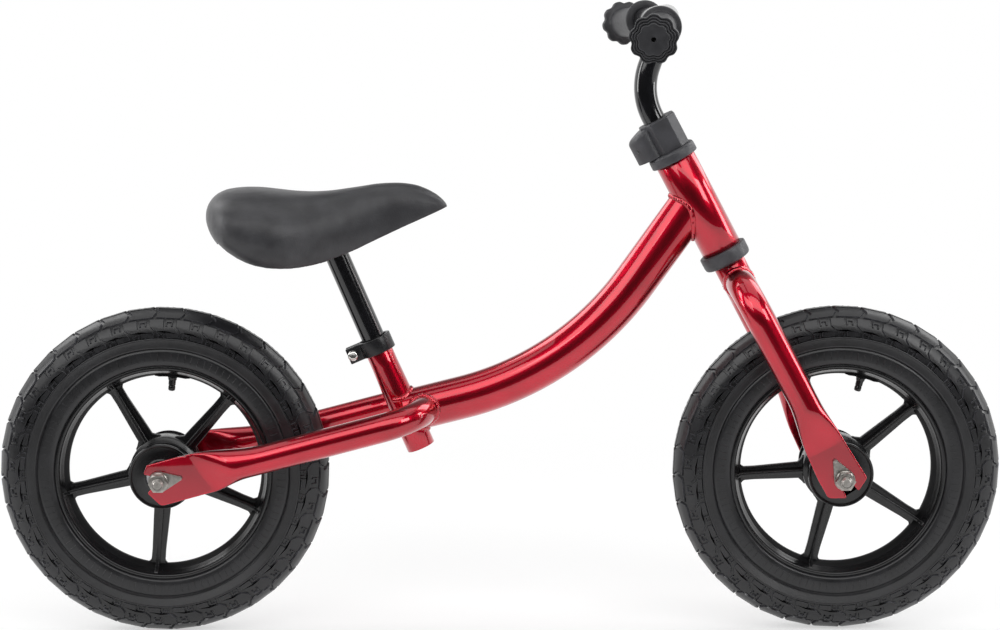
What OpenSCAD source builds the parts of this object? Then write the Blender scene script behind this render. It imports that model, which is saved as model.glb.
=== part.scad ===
// A child's balance bike: a bent-tube steel frame, a unicrown fork and two foam-tyred wheels.
// +X is forward, +Y is the rider's left, +Z is up. The origin is on the ground, midway between
// the axles and on the middle plane.

/* [Bicycle] */
// Distance between the two wheel axles
wheelbase = 594; // [560:1:720]
// Outside diameter of the tyres
wheel_d = 290; // [242:1:348]
// Lean of the steering axis back from upright, in degrees
head_lean = 28; // [22:0.1:30]
// Lean of the seat tube back from upright, in degrees
seat_lean = 23.2; // [18:0.1:26]

/* [Main tube] */
// Outside diameter of the main tube
main_d = 38; // [31:0.5:46]
// Slope of the main tube where it meets the seat tube, in degrees
main_low_slope = 14; // [10:0.1:17]
// Slope of the main tube where it meets the head tube, in degrees
main_top_slope = 54.5; // [50:0.1:58]
// Radius of the main tube's bend, along its centre line
main_bend_r = 265; // [180:5:300]
// Wall of the frame tubes
tube_wall = 1.8; // [1.2:0.1:2.5]

/* [Head tube and headset] */
// Outside diameter of the head tube
head_d = 36; // [34:0.1:43.2]
// Length of the head tube
head_len = 89; // [75:1:107]
// Air between the tyre and the bottom of the fork crown
crown_air = 41; // [35:1:60]
// Height of the fork crown sleeve
crown_h = 22; // [18:1:28]
// Height of the lower headset cup
cup_low_h = 12.7; // [10:0.1:15]
// Height of the upper headset cup
cup_top_h = 9.7; // [8:0.1:12]
// How far the headset cups stand out past the head tube
cup_lip = 3.5; // [2.5:0.1:4.5]
// Depth that a headset cup reaches into the head tube
cup_sleeve = 14; // [10:1:18]

/* [Seat] */
// Distance of the seat tube's foot ahead of the rear axle
seat_setback = 226.2; // [200:0.2:270]
// Height of the seat tube's foot above the axles
seat_rise = 19.7; // [15:0.1:24]
// Length of the seat tube
seat_tube_len = 105; // [95:1:125]
// Outside diameter of the seat tube's foot
seat_foot_d = 25.4; // [24:0.1:32]
// Outside diameter of the seat tube's slimmer top
seat_top_d = 24; // [23:0.1:30]
// Outside diameter of the seat post
post_d = 20.8; // [17.4:0.1:21]
// Length of the seat post below the saddle base
post_len = 173; // [145:1:205]
// Seat post showing above the clamp at the stored height
post_show = 73; // [61:1:88]
// Height of the seat clamp's band
clamp_h = 14; // [11:0.5:17]
// Width of the saddle at its back
saddle_w = 140; // [116:1:168]

/* [Rear stays] */
// Outside diameter of the two stays
stay_d = 25; // [21:0.5:28]
// Air between the tyre's side and a stay or a fork leg
side_air = 17; // [14:0.5:20.5]
// Radius of the bend that turns a stay in to the main tube
stay_bend_r = 40; // [33:1:48]
// Distance of the stays' weld ahead of the seat tube, along the main tube
stay_joint = 16.4; // [14:0.2:20]
// Height of the axle above the stays' centre line
stay_drop = 4.3; // [2:0.1:6]

/* [Fork] */
// Outside diameter of the fork legs
leg_d = 25.4; // [21:0.2:28]
// Radius of the bend at the top of a fork leg
leg_bend_r = 34; // [28:1:41]
// Outside diameter of the steerer tube
steerer_d = 25.4; // [24:0.1:27]
// Outside diameter of the fork crown sleeve
crown_d = 28.5; // [27.5:0.5:33]
// Thickness of the flattened tube ends
dropout_t = 5; // [4:0.5:6]

/* [Handlebar] */
// Outside diameter of the stem
stem_d = 20; // [17:0.5:20.5]
// Outside diameter of the crossbar
bar_d = 21.6; // [21.2:0.2:22.6]
// Distance between the outer ends of the grips
bar_w = 380; // [330:1:456]
// Sweep of each half of the crossbar towards the rider, in degrees
bar_sweep = 7.7; // [4:0.5:12]
// Drop of each half of the crossbar, in degrees
bar_drop = 3.6; // [0:0.5:6]
// Radius of the stem's forward bend
stem_bend_r = 55; // [46:1:66]
// Turn of the stem's forward bend, in degrees
stem_turn = 47; // [40:1:56]
// Straight stem between its bend and the crossbar
stem_top_len = 45; // [38:1:54]
// Stem held inside the steerer at the lowest setting
stem_hold = 110; // [92:1:132]
// Length of a grip
grip_len = 104; // [88:1:124]
// Outside diameter of a grip
grip_d = 26.8; // [25:0.2:32]
// Outside diameter of a grip's end bumper
bumper_d = 40.6; // [36:0.2:46]
// Outside diameter of a grip's inner flange
flange_d = 35.4; // [33:0.2:40]
// Diameter of the vent hole in a grip's end
vent_d = 4; // [3:0.1:5]

/* [Wheels] */
// Width of the tyres
tyre_w = 46; // [39:0.5:55]
// Diameter of the rim's outer lips
rim_d = 192; // [176:1:196]
// Width of the rim
rim_w = 38; // [34:0.5:44]
// Diameter of the rim's narrowest ring
rim_bore_d = 169.8; // [150:0.2:172]
// Number of spokes
spokes = 5; // [4:1:6]
// Width of a spoke at the hub
spoke_w = 16; // [13:0.5:19]
// Angle of the rear valve above level, in degrees
rear_valve_at = 84.7; // [60:0.1:120]
// Angle of the front valve above level, in degrees
front_valve_at = 75.5; // [60:0.1:120]
// Width of the hub over its end discs
hub_w = 69; // [60:0.5:72]
// Diameter of the hub's end discs
hub_disc_d = 57.5; // [50:0.5:64]
// Diameter of the axles
axle_d = 9.8; // [8.2:0.1:11.8]
// Length of an axle
axle_len = 141; // [132:1:156]

/* [Fits] */
// Radial clearance where a part turns or slides
run_fit = 0.08; // [0.03:0.01:0.1]
// Gap between flat faces that turn past each other
face_gap = 0.3; // [0.2:0.05:0.5]

/* [Hidden] */
$fn = 64;

hull_fn = 32;            // facets of round children of a hull
fine_fn = 128;           // facets of the large wheel circles
cut = 1;                 // how far a cutter runs past a face
lap = 1.2;               // how far a straight run sleeves over the end of a bend
draw_in = 0.15;          // how much a bend's wall is drawn in on each face
red = "firebrick";
black = "dimgray";
zinc = "silver";

// Places of the axles
axle_z = wheel_d / 2;
rear_x = -wheelbase / 2;
front_x = wheelbase / 2;

// Steering stack, measured up the steering axis from the front axle
crown_s = wheel_d / 2 + crown_air;
crown_low = 11;          // the crown sleeve reaches this far below the legs' middle
cup_low_s = crown_s + crown_h + face_gap;
head_s = cup_low_s + cup_low_h;
cup_top_s = head_s + head_len;
cover_s = cup_top_s + cup_top_h + face_gap;
cover_h = 29;
collar_s = cover_s + 3;
collar_h = 18;
steerer_top_s = collar_s + collar_h + 2;
stem_exit_s = cover_s + cover_h + 3.5;

// Tube radii
steerer_r = steerer_d / 2;
stem_r = stem_d / 2;
bar_r = bar_d / 2;
stem_bore_r = stem_r + run_fit;
post_r = post_d / 2;
seat_bore_r = post_r + run_fit;
cup_bore_r = steerer_r + run_fit;
head_bore_r = head_d / 2 - 3;
cup_d = head_d + 2 * cup_lip;
tyre_side = tyre_w / 2;
stay_y = tyre_side + side_air + stay_d / 2;
leg_y = tyre_side + side_air + leg_d / 2;

// Seat stack, measured up the seat tube from its foot
seat_x = rear_x + seat_setback;
seat_z = axle_z + seat_rise;
taper_low_s = 60;
taper_top_s = 75;
clamp_s = seat_tube_len - clamp_h + 1.5;
clamp_top_s = clamp_s + clamp_h;
saddle_s = clamp_top_s + post_show;
clamp_wall = 3.2;
ear_reach = 26.5;        // rear edge of the seat clamp's ears
ear_bolt = 22;           // bolt's distance behind the seat tube's axis
ear_gap = 3;
ear_t = 5;
clamp_screw_d = 6;

// Main tube: two straight runs, tangent to one bend
function main_low() = [seat_x - seat_meet_s * sin(seat_lean), seat_z + seat_meet_s * cos(seat_lean)];
function main_top() = [front_x - head_mid_s * sin(head_lean), axle_z + head_mid_s * cos(head_lean)];
seat_meet_s = 34.5;
head_mid_s = head_s + head_len * 0.57;
main_turn = main_top_slope - main_low_slope;
main_rise = main_top()[1] - main_low()[1];
main_run = main_top()[0] - main_low()[0];
corner_out = (main_run * sin(main_top_slope) - main_rise * cos(main_top_slope)) / sin(main_turn);
corner_back = (main_rise * cos(main_low_slope) - main_run * sin(main_low_slope)) / sin(main_turn);
main_tangent = main_bend_r * tan(main_turn / 2);
main_r = main_d / 2;

// Stays: a straight run from the axle, then a bend in to the main tube's side
joint_x = main_low()[0] + stay_joint * cos(main_low_slope);
joint_z = main_low()[1] + stay_joint * sin(main_low_slope);
stay_slope = atan2(joint_z - axle_z + stay_drop, joint_x - rear_x);
stay_len = norm([joint_x - rear_x, joint_z - axle_z + stay_drop]);
stay_straight = stay_len - stay_bend_r;
stay_flat_end = 30;      // where the flattened end begins to swell into the tube
stay_round_at = 66;      // where the stay is round again
flat_high = stay_d / 2 + 8.3;    // the flattened end's reach above the centre line
flat_low = stay_d / 2 + 4.3;     // and below it

// Fork legs
leg_flat_s = 30;         // where the flattened foot begins to swell into the leg
leg_round_s = 64;        // where the leg is round again
leg_bend_s = crown_s + 3 - leg_bend_r;

// Axle stack, outwards from the middle plane
axle_r = axle_d / 2;
axle_end_r = axle_r - 0.2;   // the axle past its nuts
axle_step = 0.5;              // where that begins, outside the nut
hub_side = hub_w / 2;
washer_t = 2;
nut_h = 8;
nut_af = 15;
washer_r = 9.2;
hook_r = 2;
hook_at = 20;
hook_tilt = 8.5;         // the rear hook washers' tips point this far above level
bearing_w = 8;
bearing_r = 13;
axle_tip = 2.5;

// Handlebar
stem_low_s = stem_exit_s - stem_hold;
bumper_t = 11;
flange_t = 5;
grip_cap = 3;
half_len = bar_w / 2 / cos(bar_sweep) / cos(bar_drop);
grip_start = half_len - grip_len;

// Wheel
channel_d = rim_d - 5;   // rim floor under the tyre, between the lips
lip_t = 3;
hub_ring_d = 61;
hub_barrel_d = 50;
spoke_rib_w = 5.5;
spoke_web_t = 4.4;
valve_d = 6.5;
valve_len = 14;

module at_rear() translate([rear_x, 0, axle_z]) children();

// Local Z runs up the steering axis from the front axle, local X points forward of it
module at_steer(s = 0) translate([front_x, 0, axle_z]) rotate([0, -head_lean, 0])
    translate([0, 0, s]) children();

// Local Z runs up the seat tube from its foot
module at_seat(s = 0) translate([seat_x, 0, seat_z]) rotate([0, -seat_lean, 0])
    translate([0, 0, s]) children();

// Local Z runs forward along a stay's centre line, local X points down
module at_stay(side) translate([rear_x, side * stay_y, axle_z - stay_drop])
    rotate([0, 90 - stay_slope, 0]) children();

// Local Z runs along the crossbar's half towards its end
module at_bar(side) at_steer(stem_exit_s)
    translate([stem_bend_r * (1 - cos(stem_turn)), 0, stem_bend_r * sin(stem_turn)])
    rotate([0, stem_turn, 0]) translate([0, 0, stem_top_len])
    rotate([0, head_lean - stem_turn, 0])
    rotate([-side * (90 + bar_drop), 0, side * bar_sweep]) children();

// A straight run of tube along +Z
module pipe(len, r, wall) linear_extrude(height = len) pipe_ring(r, wall);

module pipe_ring(r, wall) difference() {
    circle(r = r);
    circle(r = r - wall);
}

// A bend that starts at the origin along +Z and turns towards +X
module elbow(bend_r, turn, r, wall)
    translate([bend_r, 0, 0]) rotate([90, 0, 0]) rotate([0, 0, 180 - turn])
    rotate_extrude(angle = turn) translate([bend_r, 0]) pipe_ring(r, wall);

// Places its children at the far end of such a bend
module after_elbow(bend_r, turn)
    translate([bend_r * (1 - cos(turn)), 0, bend_r * sin(turn)]) rotate([0, turn, 0]) children();

// A tube that runs straight up +Z, bends towards +X and runs straight again. The bend's wall
// is drawn in a little, so each straight run sleeves over its end.
module bent_pipe(low, bend_r, turn, high, r, wall) {
    pipe(low + lap, r, wall);
    translate([0, 0, low]) {
        elbow(bend_r, turn, r - draw_in, wall - 2 * draw_in);
        after_elbow(bend_r, turn) translate([0, 0, -lap]) pipe(high + lap, r, wall);
    }
}

module both_sides() for (side = [-1, 1]) scale([1, 1, 1]) mirror([0, side < 0 ? 1 : 0, 0]) children();

// A cylinder along +Y that starts at y
module across(y, len, r) translate([0, y, 0]) rotate([-90, 0, 0]) cylinder(h = len, r = r);

// ---- Frame ----

// Local Z runs up the main tube from the seat tube's axis
module at_main() translate([main_low()[0], 0, main_low()[1]]) rotate([0, 90 - main_low_slope, 0])
    rotate([0, 0, 180]) children();

module main_tube() color(red) difference() {
    at_main() bent_pipe(corner_out - main_tangent, main_bend_r, main_turn,
        corner_back - main_tangent - head_d * 0.3, main_r, tube_wall);
    at_steer(head_s) cylinder(h = head_len, r = head_d / 2);
    at_seat(-cut) cylinder(h = taper_low_s + cut, r = seat_foot_d / 2);
}

module head_tube() color(red) at_steer(head_s) difference() {
    cylinder(h = head_len, r = head_d / 2);
    translate([0, 0, -cut]) cylinder(h = head_len + 2 * cut, r = head_bore_r);
}

module seat_tube() color(red) at_seat() difference() {
    union() {
        cylinder(h = taper_low_s, r = seat_foot_d / 2);
        translate([0, 0, taper_low_s])
            cylinder(h = taper_top_s - taper_low_s, r1 = seat_foot_d / 2, r2 = seat_top_d / 2);
        translate([0, 0, taper_top_s])
            cylinder(h = seat_tube_len - taper_top_s, r = seat_top_d / 2);
    }
    translate([0, 0, -cut]) cylinder(h = seat_tube_len + 2 * cut, r = seat_bore_r);
    // clamping slot at the back, with a round end
    translate([-seat_top_d / 2 - cut, -1.2, clamp_s - 8])
        cube([seat_top_d / 2, 2.4, seat_tube_len]);
    translate([-seat_top_d / 2 - cut, 0, clamp_s - 8]) rotate([0, 90, 0])
        cylinder(h = seat_top_d / 2, r = 2.2);
}

// A point along and above the stay's centre line, as side-view distances from the axle
function stay_point(along, above) = [
    along * cos(stay_slope) - above * sin(stay_slope),
    along * sin(stay_slope) + above * cos(stay_slope) - stay_drop];

// The pressed-flat rear end of a stay, drawn in side view about the axle
module rear_flat_outline() difference() {
    polygon([[-10, 14.5], [-13, 5], [-6, 5], [-6, -5.5], [-10.5, -10], [1.5, -21.7],
        stay_point(stay_flat_end + 2, -flat_low + 0.9), stay_point(stay_flat_end + 2, flat_high - 0.9),
        [18, 22.2]]);
    circle(r = axle_r + run_fit);
    translate([-20, -axle_r - run_fit]) square([20, axle_d + 2 * run_fit]);
    rotate([0, 0, hook_tilt]) translate([hook_at, 0]) circle(r = hook_r + 0.5);
}

// A stay: pressed flat at the axle, round further on, then bent in to the main tube's side
module stay(side) color(red) difference() {
    union() {
        at_stay(side) {
            translate([0, 0, stay_round_at]) rotate([0, 0, -side * 90])
                bent_pipe(stay_straight - stay_round_at, stay_bend_r, 90,
                    stay_y - stay_bend_r, stay_d / 2, tube_wall);
            hull() {
                translate([0, 0, stay_round_at + 2 * draw_in])
                    cylinder(h = lap, r = stay_d / 2 - 2 * draw_in, $fn = hull_fn);
                translate([-flat_high, draw_in - dropout_t / 2, stay_flat_end])
                    cube([flat_high + flat_low, dropout_t - 2 * draw_in, cut]);
            }
        }
        translate([rear_x, side * stay_y + dropout_t / 2, axle_z]) rotate([90, 0, 0])
            linear_extrude(height = dropout_t) rear_flat_outline();
    }
    at_main() translate([0, 0, -cut]) cylinder(h = corner_out - main_tangent + cut, r = main_r);
    at_seat(-cut) cylinder(h = taper_low_s + cut, r = seat_foot_d / 2);
}

module stay_right() stay(-1);
module stay_left() stay(1);

module seat_clamp() color(black) at_seat(clamp_s) difference() {
    union() {
        cylinder(h = clamp_h, r = seat_top_d / 2 + clamp_wall);
        translate([-ear_reach, -ear_gap / 2 - ear_t, 0])
            cube([ear_reach, ear_gap + 2 * ear_t, clamp_h]);
    }
    translate([0, 0, -cut]) cylinder(h = clamp_h + 2 * cut, r = seat_top_d / 2);
    translate([-ear_reach - cut, -ear_gap / 2, -cut])
        cube([ear_reach, ear_gap, clamp_h + 2 * cut]);
    translate([-ear_bolt, 0, clamp_h / 2])
        across(-ear_reach, 2 * ear_reach, clamp_screw_d / 2);
}

// A screw along +Y with a round head that has a hexagonal socket
socket_af = 5;

module socket_screw(grip, d, head_d, head_h) difference() {
    union() {
        across(0, grip, d / 2);
        across(-head_h, head_h, head_d / 2);
    }
    translate([0, -head_h - cut, 0]) rotate([-90, 0, 0])
        cylinder(h = head_h * 0.6 + cut, r = socket_af / 2 / cos(30), $fn = 6);
}

// A hexagonal nut along +Y with a true round hole
module hex_nut(af, h, hole_r) rotate([-90, 0, 0]) difference() {
    cylinder(h = h, r = af / 2 / cos(30), $fn = 6);
    translate([0, 0, -cut]) cylinder(h = h + 2 * cut, r = hole_r);
}

module seat_clamp_bolt() color(zinc) at_seat(clamp_s + clamp_h / 2)
    translate([-ear_bolt, -ear_gap / 2 - ear_t, 0])
    socket_screw(ear_gap + 2 * ear_t + 7, clamp_screw_d, 9.4, 4);

module seat_clamp_nut() color(zinc) at_seat(clamp_s + clamp_h / 2)
    translate([-ear_bolt, ear_gap / 2 + ear_t, 0]) hex_nut(10, 5, clamp_screw_d / 2);

// A headset cup that stands on Z = 0 and reaches down into the head tube
module headset_cup(cup_h) difference() {
    union() {
        cylinder(h = cup_h * 0.6, r = cup_d / 2);
        translate([0, 0, cup_h * 0.6])
            cylinder(h = cup_h * 0.4, r1 = cup_d / 2, r2 = cup_d / 2 - 2.5);
        translate([0, 0, -cup_sleeve]) cylinder(h = cup_sleeve, r = head_bore_r);
    }
    translate([0, 0, -cup_sleeve - cut])
        cylinder(h = cup_sleeve + cup_h + 2 * cut, r = cup_bore_r);
}

module headset_lower_cup() color(black) at_steer(head_s) mirror([0, 0, 1]) headset_cup(cup_low_h);
module headset_upper_cup() color(black) at_steer(cup_top_s) headset_cup(cup_top_h);

// ---- Axles, alike at both wheels ----

// An axle through the middle plane. Its ends past the nuts are a little slimmer, with tapered tips.
module axle(plate_y) {
    nut_face = plate_y + dropout_t / 2 + washer_t + nut_h + axle_step;
    across(-nut_face, 2 * nut_face, axle_r);
    for (side = [-1, 1]) mirror([0, side < 0 ? 1 : 0, 0]) {
        across(nut_face, axle_len / 2 - axle_tip - nut_face, axle_end_r);
        translate([0, axle_len / 2 - axle_tip, 0]) rotate([-90, 0, 0])
            cylinder(h = axle_tip, r1 = axle_end_r, r2 = axle_end_r - axle_tip * 0.7);
    }
}

module axle_nuts(plate_y) both_sides()
    translate([0, plate_y + dropout_t / 2 + washer_t, 0]) hex_nut(nut_af, nut_h, axle_r);

// A teardrop washer whose tip hooks into the flattened end
module hook_washers(plate_y) both_sides() {
    translate([0, plate_y + dropout_t / 2 + washer_t, 0]) rotate([90, 0, 0])
        linear_extrude(height = washer_t) difference() {
            teardrop(washer_r, hook_r + 1, hook_at);
            circle(r = axle_r);
        }
    translate([hook_at, 0, 0]) across(plate_y - dropout_t / 4, dropout_t, hook_r);
}

module teardrop(r_big, r_tip, reach) {
    lean = acos((r_big - r_tip) / reach);
    root = r_big - 0.05;
    tip = r_tip - 0.05;
    circle(r = r_big);
    translate([reach, 0]) circle(r = r_tip);
    polygon([[root * cos(lean), root * sin(lean)],
        [reach + tip * cos(lean), tip * sin(lean)],
        [reach + tip * cos(lean), -tip * sin(lean)],
        [root * cos(lean), -root * sin(lean)]]);
}

// Spacer sleeves between the hub bearings and the flattened ends
module axle_spacers(plate_y) both_sides() difference() {
    across(hub_side + face_gap, plate_y - dropout_t / 2 - hub_side - face_gap, 8);
    across(hub_side, plate_y, axle_r);
}

module rear_axle() color(zinc) at_rear() axle(stay_y);
module rear_axle_nuts() color(zinc) at_rear() axle_nuts(stay_y);
module rear_hook_washers() color(zinc) at_rear() rotate([0, -hook_tilt, 0]) hook_washers(stay_y);
module rear_axle_spacers() color(zinc) at_rear() axle_spacers(stay_y);
module front_axle() color(zinc) at_steer() axle(leg_y);
module front_axle_nuts() color(zinc) at_steer() axle_nuts(leg_y);
module front_hook_washers() color(zinc) at_steer() rotate([0, -90, 0]) hook_washers(leg_y);
module front_axle_spacers() color(zinc) at_steer() axle_spacers(leg_y);

// ---- Fork ----

module fork_steerer() color(red) at_steer(crown_s) difference() {
    cylinder(h = steerer_top_s - crown_s, r = steerer_r);
    translate([0, 0, 3]) cylinder(h = steerer_top_s - crown_s, r = stem_bore_r);
    // clamping slot at the back of the top
    translate([-steerer_r - cut, -1.2, collar_s - crown_s])
        cube([steerer_r, 2.4, collar_h + 2 * cut + 2]);
}

module fork_crown() color(red) at_steer(crown_s) difference() {
    translate([0, 0, -crown_low]) cylinder(h = crown_h + crown_low, r = crown_d / 2);
    translate([0, 0, -crown_low - cut]) cylinder(h = crown_h + crown_low + 2 * cut, r = steerer_r);
}

// The pressed-flat foot of a fork leg, drawn about the axle with the steering axis upright
module front_flat_outline() difference() {
    polygon([[-leg_d / 2 - 6.6, leg_flat_s + cut], [-20.5, 9.7], [-20, -6.7], [-18.4, -9],
        [-5.2, -15.8], [-5, -10], [5, -10], [6.1, -14.8], [18.2, -8.2], [16.2, 20],
        [leg_d / 2 + 2.8, leg_flat_s + cut]]);
    circle(r = axle_r + run_fit);
    translate([-axle_r - run_fit, -20]) square([axle_d + 2 * run_fit, 20]);
    translate([0, hook_at]) circle(r = hook_r + 0.5);
}

// A fork leg: pressed flat at the axle, round further up, then bent in to the crown
module fork_leg(side) color(red) at_steer() difference() {
    translate([0, side * leg_y, 0]) {
        translate([0, 0, leg_round_s]) rotate([0, 0, -side * 90])
            bent_pipe(leg_bend_s - leg_round_s, leg_bend_r, 90,
                leg_y - leg_bend_r, leg_d / 2, tube_wall);
        hull() {
            translate([0, 0, leg_round_s])
                cylinder(h = lap, r = leg_d / 2 - draw_in, $fn = hull_fn);
            translate([-leg_d / 2 - 6.6, -dropout_t / 2, leg_flat_s])
                cube([leg_d + 9.4, dropout_t, cut]);
        }
        translate([0, dropout_t / 2, 0]) rotate([90, 0, 0])
            linear_extrude(height = dropout_t) front_flat_outline();
    }
    translate([0, 0, crown_s - crown_h]) cylinder(h = 3 * crown_h, r = crown_d / 2);
}

module fork_leg_right() fork_leg(-1);
module fork_leg_left() fork_leg(1);

// Clamping collar around the top of the steerer, hidden by its cover
collar_r = steerer_r + 2.4;
collar_bolt = 21;
collar_reach = 25;
collar_ear_t = 3.5;

module stem_collar() color(zinc) at_steer(collar_s) difference() {
    union() {
        cylinder(h = collar_h, r = collar_r);
        translate([-collar_reach, -ear_gap / 2 - collar_ear_t, 0])
            cube([collar_reach, ear_gap + 2 * collar_ear_t, collar_h]);
    }
    translate([0, 0, -cut]) cylinder(h = collar_h + 2 * cut, r = steerer_r);
    translate([-collar_reach - cut, -ear_gap / 2, -cut])
        cube([collar_reach, ear_gap, collar_h + 2 * cut]);
    translate([-collar_bolt, 0, collar_h / 2])
        across(-collar_reach, 2 * collar_reach, clamp_screw_d / 2);
}

module stem_collar_bolt() color(zinc) at_steer(collar_s + collar_h / 2)
    translate([-collar_bolt, -ear_gap / 2 - collar_ear_t, 0])
    socket_screw(ear_gap + 2 * collar_ear_t + 6, clamp_screw_d, 10, 4.5);

module stem_collar_nut() color(zinc) at_steer(collar_s + collar_h / 2)
    translate([-collar_bolt, ear_gap / 2 + collar_ear_t, 0]) hex_nut(10, 5, clamp_screw_d / 2);

// Moulded cover: a faceted sleeve with a lobe at the back over the collar's bolt
cover_side = collar_r + 1.9;
cover_front = collar_r + 2.7;
lobe_side = 13.5;
lobe_back = collar_reach + 5;
lobe_round = 9;
cover_wall = 2;

module cover_form(grow) {
    linear_extrude(height = cover_h + grow) polygon([[cover_front + grow, -9], [10, -cover_side - grow],
        [-6, -cover_side - grow], [-collar_r - grow, -9], [-collar_r - grow, 9], [-6, cover_side + grow],
        [10, cover_side + grow], [cover_front + grow, 9]]);
    translate([0, lobe_side + grow, 0]) rotate([90, 0, 0]) linear_extrude(height = 2 * (lobe_side + grow)) {
        translate([-lobe_back - grow, 0]) square([lobe_back, cover_h - lobe_round + grow]);
        translate([-lobe_back + lobe_round, 0]) square([lobe_back - lobe_round, cover_h + grow]);
        translate([-lobe_back + lobe_round, cover_h - lobe_round]) circle(r = lobe_round + grow);
    }
}

module stem_collar_cover() color(black) at_steer(cover_s) difference() {
    cover_form(0);
    translate([0, 0, -cut]) cover_form(-cover_wall);
    translate([0, 0, -cut]) cylinder(h = cover_h + 2 * cut, r = stem_r + face_gap);
    translate([0, 0, -cut]) cylinder(h = collar_s - cover_s + collar_h + cut, r = collar_r + face_gap);
}

// ---- Handlebar ----

module stem() color(black) difference() {
    at_steer(stem_low_s)
        bent_pipe(stem_hold, stem_bend_r, stem_turn, stem_top_len, stem_r, tube_wall);
    for (side = [-1, 1]) at_bar(side) cylinder(h = 3 * bar_d, r = bar_r);
    at_bar(1) sphere(r = bar_r + draw_in / 3);
}

module crossbar() color(black) difference() {
    union() {
        for (side = [-1, 1]) at_bar(side) cylinder(h = half_len - grip_cap, r = bar_r);
        at_bar(1) sphere(r = bar_r);
    }
    for (side = [-1, 1]) at_bar(side) cylinder(h = half_len, r = bar_r - tube_wall);
}

module grip(side) color(black) at_bar(side) difference() {
    union() {
        translate([0, 0, grip_start]) cylinder(h = flange_t, r = flange_d / 2);
        translate([0, 0, grip_start]) cylinder(h = grip_len - cut, r = grip_d / 2);
        translate([0, 0, half_len - bumper_t]) cylinder(h = bumper_t - 4, r = bumper_d / 2);
        translate([0, 0, half_len - 4]) cylinder(h = 4, r1 = bumper_d / 2, r2 = bumper_d / 2 - 5);
    }
    translate([0, 0, grip_start - cut]) cylinder(h = grip_len - grip_cap + cut, r = bar_r);
    translate([0, 0, half_len - 2 * grip_cap]) cylinder(h = 3 * grip_cap, r = vent_d / 2);
}

module grip_right() grip(-1);
module grip_left() grip(1);

// ---- Saddle ----

plate_t = 3;
base_t = 5;
plate_z = 18;            // the level plate's height above the saddle's underside
plate_back = 8;          // its middle's distance behind the reference point
screw_x = 21;
screw_y = 13;

// Level frame where the post's axis meets the saddle's underside
module at_saddle() translate([seat_x - saddle_s * sin(seat_lean), 0, seat_z + saddle_s * cos(seat_lean)])
    children();

module seat_post() color(black) difference() {
    at_seat(saddle_s - post_len)
        pipe(post_len + plate_z / cos(seat_lean) + post_d / 2, post_r, tube_wall);
    at_saddle() translate([-60, -40, plate_z]) cube([120, 80, 60]);
}

module post_plate() color(black) at_saddle() translate([-plate_back, 0, plate_z]) difference() {
    translate([-27, -19, 0]) cube([54, 38, plate_t]);
    for (x = [-screw_x, screw_x], y = [-screw_y, screw_y])
        translate([x, y, -cut]) cylinder(h = plate_t + 2 * cut, r = 2.5);
}

module saddle_screws() color(zinc) at_saddle() translate([-plate_back, 0, plate_z])
    for (x = [-screw_x, screw_x], y = [-screw_y, screw_y]) translate([x, y, 0]) {
        cylinder(h = plate_t + base_t, r = 2.5);
        translate([0, 0, -2.5]) cylinder(h = 2.5, r1 = 3, r2 = 4.5);
    }

saddle_back = 115.5;     // tail behind the reference point
saddle_nose = 93;        // nose ahead of it
tail_r = 19;
nose_r = 7.5;

// The saddle's outer form: a wide round tail, a narrower middle and a slim raised nose
module saddle_form() {
    hull() {
        translate([tail_r - saddle_back, 0, 43.5]) sphere(r = tail_r, $fn = hull_fn);
        for (side = [-1, 1]) {
            translate([-84, side * (saddle_w / 2 - tail_r), 36]) sphere(r = tail_r, $fn = hull_fn);
            translate([-62, side * (saddle_w / 2 - 46), 20]) sphere(r = 23, $fn = hull_fn);
        }
        saddle_middle();
    }
    hull() {
        saddle_middle();
        for (side = [-1, 1]) translate([46, side * 10, 52]) sphere(r = 16, $fn = hull_fn);
        translate([46, 0, 43]) sphere(r = 16, $fn = hull_fn);
        translate([68, 0, 54.5]) sphere(r = 12.5, $fn = hull_fn);
        translate([saddle_nose - nose_r, 0, 50.5]) sphere(r = nose_r, $fn = hull_fn);
    }
}

module saddle_middle() for (side = [-1, 1]) {
    translate([-30, side * (saddle_w / 2 - 36), 36]) sphere(r = 20, $fn = hull_fn);
    translate([-16, side * (saddle_w / 2 - 52), 20]) sphere(r = 18, $fn = hull_fn);
}

// The rigid base's outline in plan
module base_outline() hull() for (side = [-1, 1]) {
    translate([-40, side * (saddle_w / 2 - 52)]) circle(r = 18, $fn = hull_fn);
    translate([12, side * 10]) circle(r = 12, $fn = hull_fn);
}

module saddle_base() color(black) at_saddle() translate([0, 0, plate_z + plate_t]) difference() {
    linear_extrude(height = base_t) base_outline();
    for (x = [-screw_x, screw_x], y = [-screw_y, screw_y])
        translate([x - plate_back, y, -cut]) cylinder(h = base_t + 2 * cut, r = 2.5);
}

// The pad is closed over the base and open below it
module saddle_pad() color(black) at_saddle() difference() {
    saddle_form();
    translate([0, 0, -60]) linear_extrude(height = 60 + plate_z + plate_t + base_t) base_outline();
}

// ---- Wheels, drawn about the axle with the axle along Z ----

module tyre_section() difference() {
    union() {
        translate([axle_z - tyre_side, 0]) circle(r = tyre_side, $fn = fine_fn);
        translate([channel_d / 2, -tyre_side]) square([axle_z - tyre_side - channel_d / 2, tyre_w]);
    }
    rim_section();
    translate([0, -tyre_w]) square([channel_d / 2, 2 * tyre_w]);
}

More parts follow.
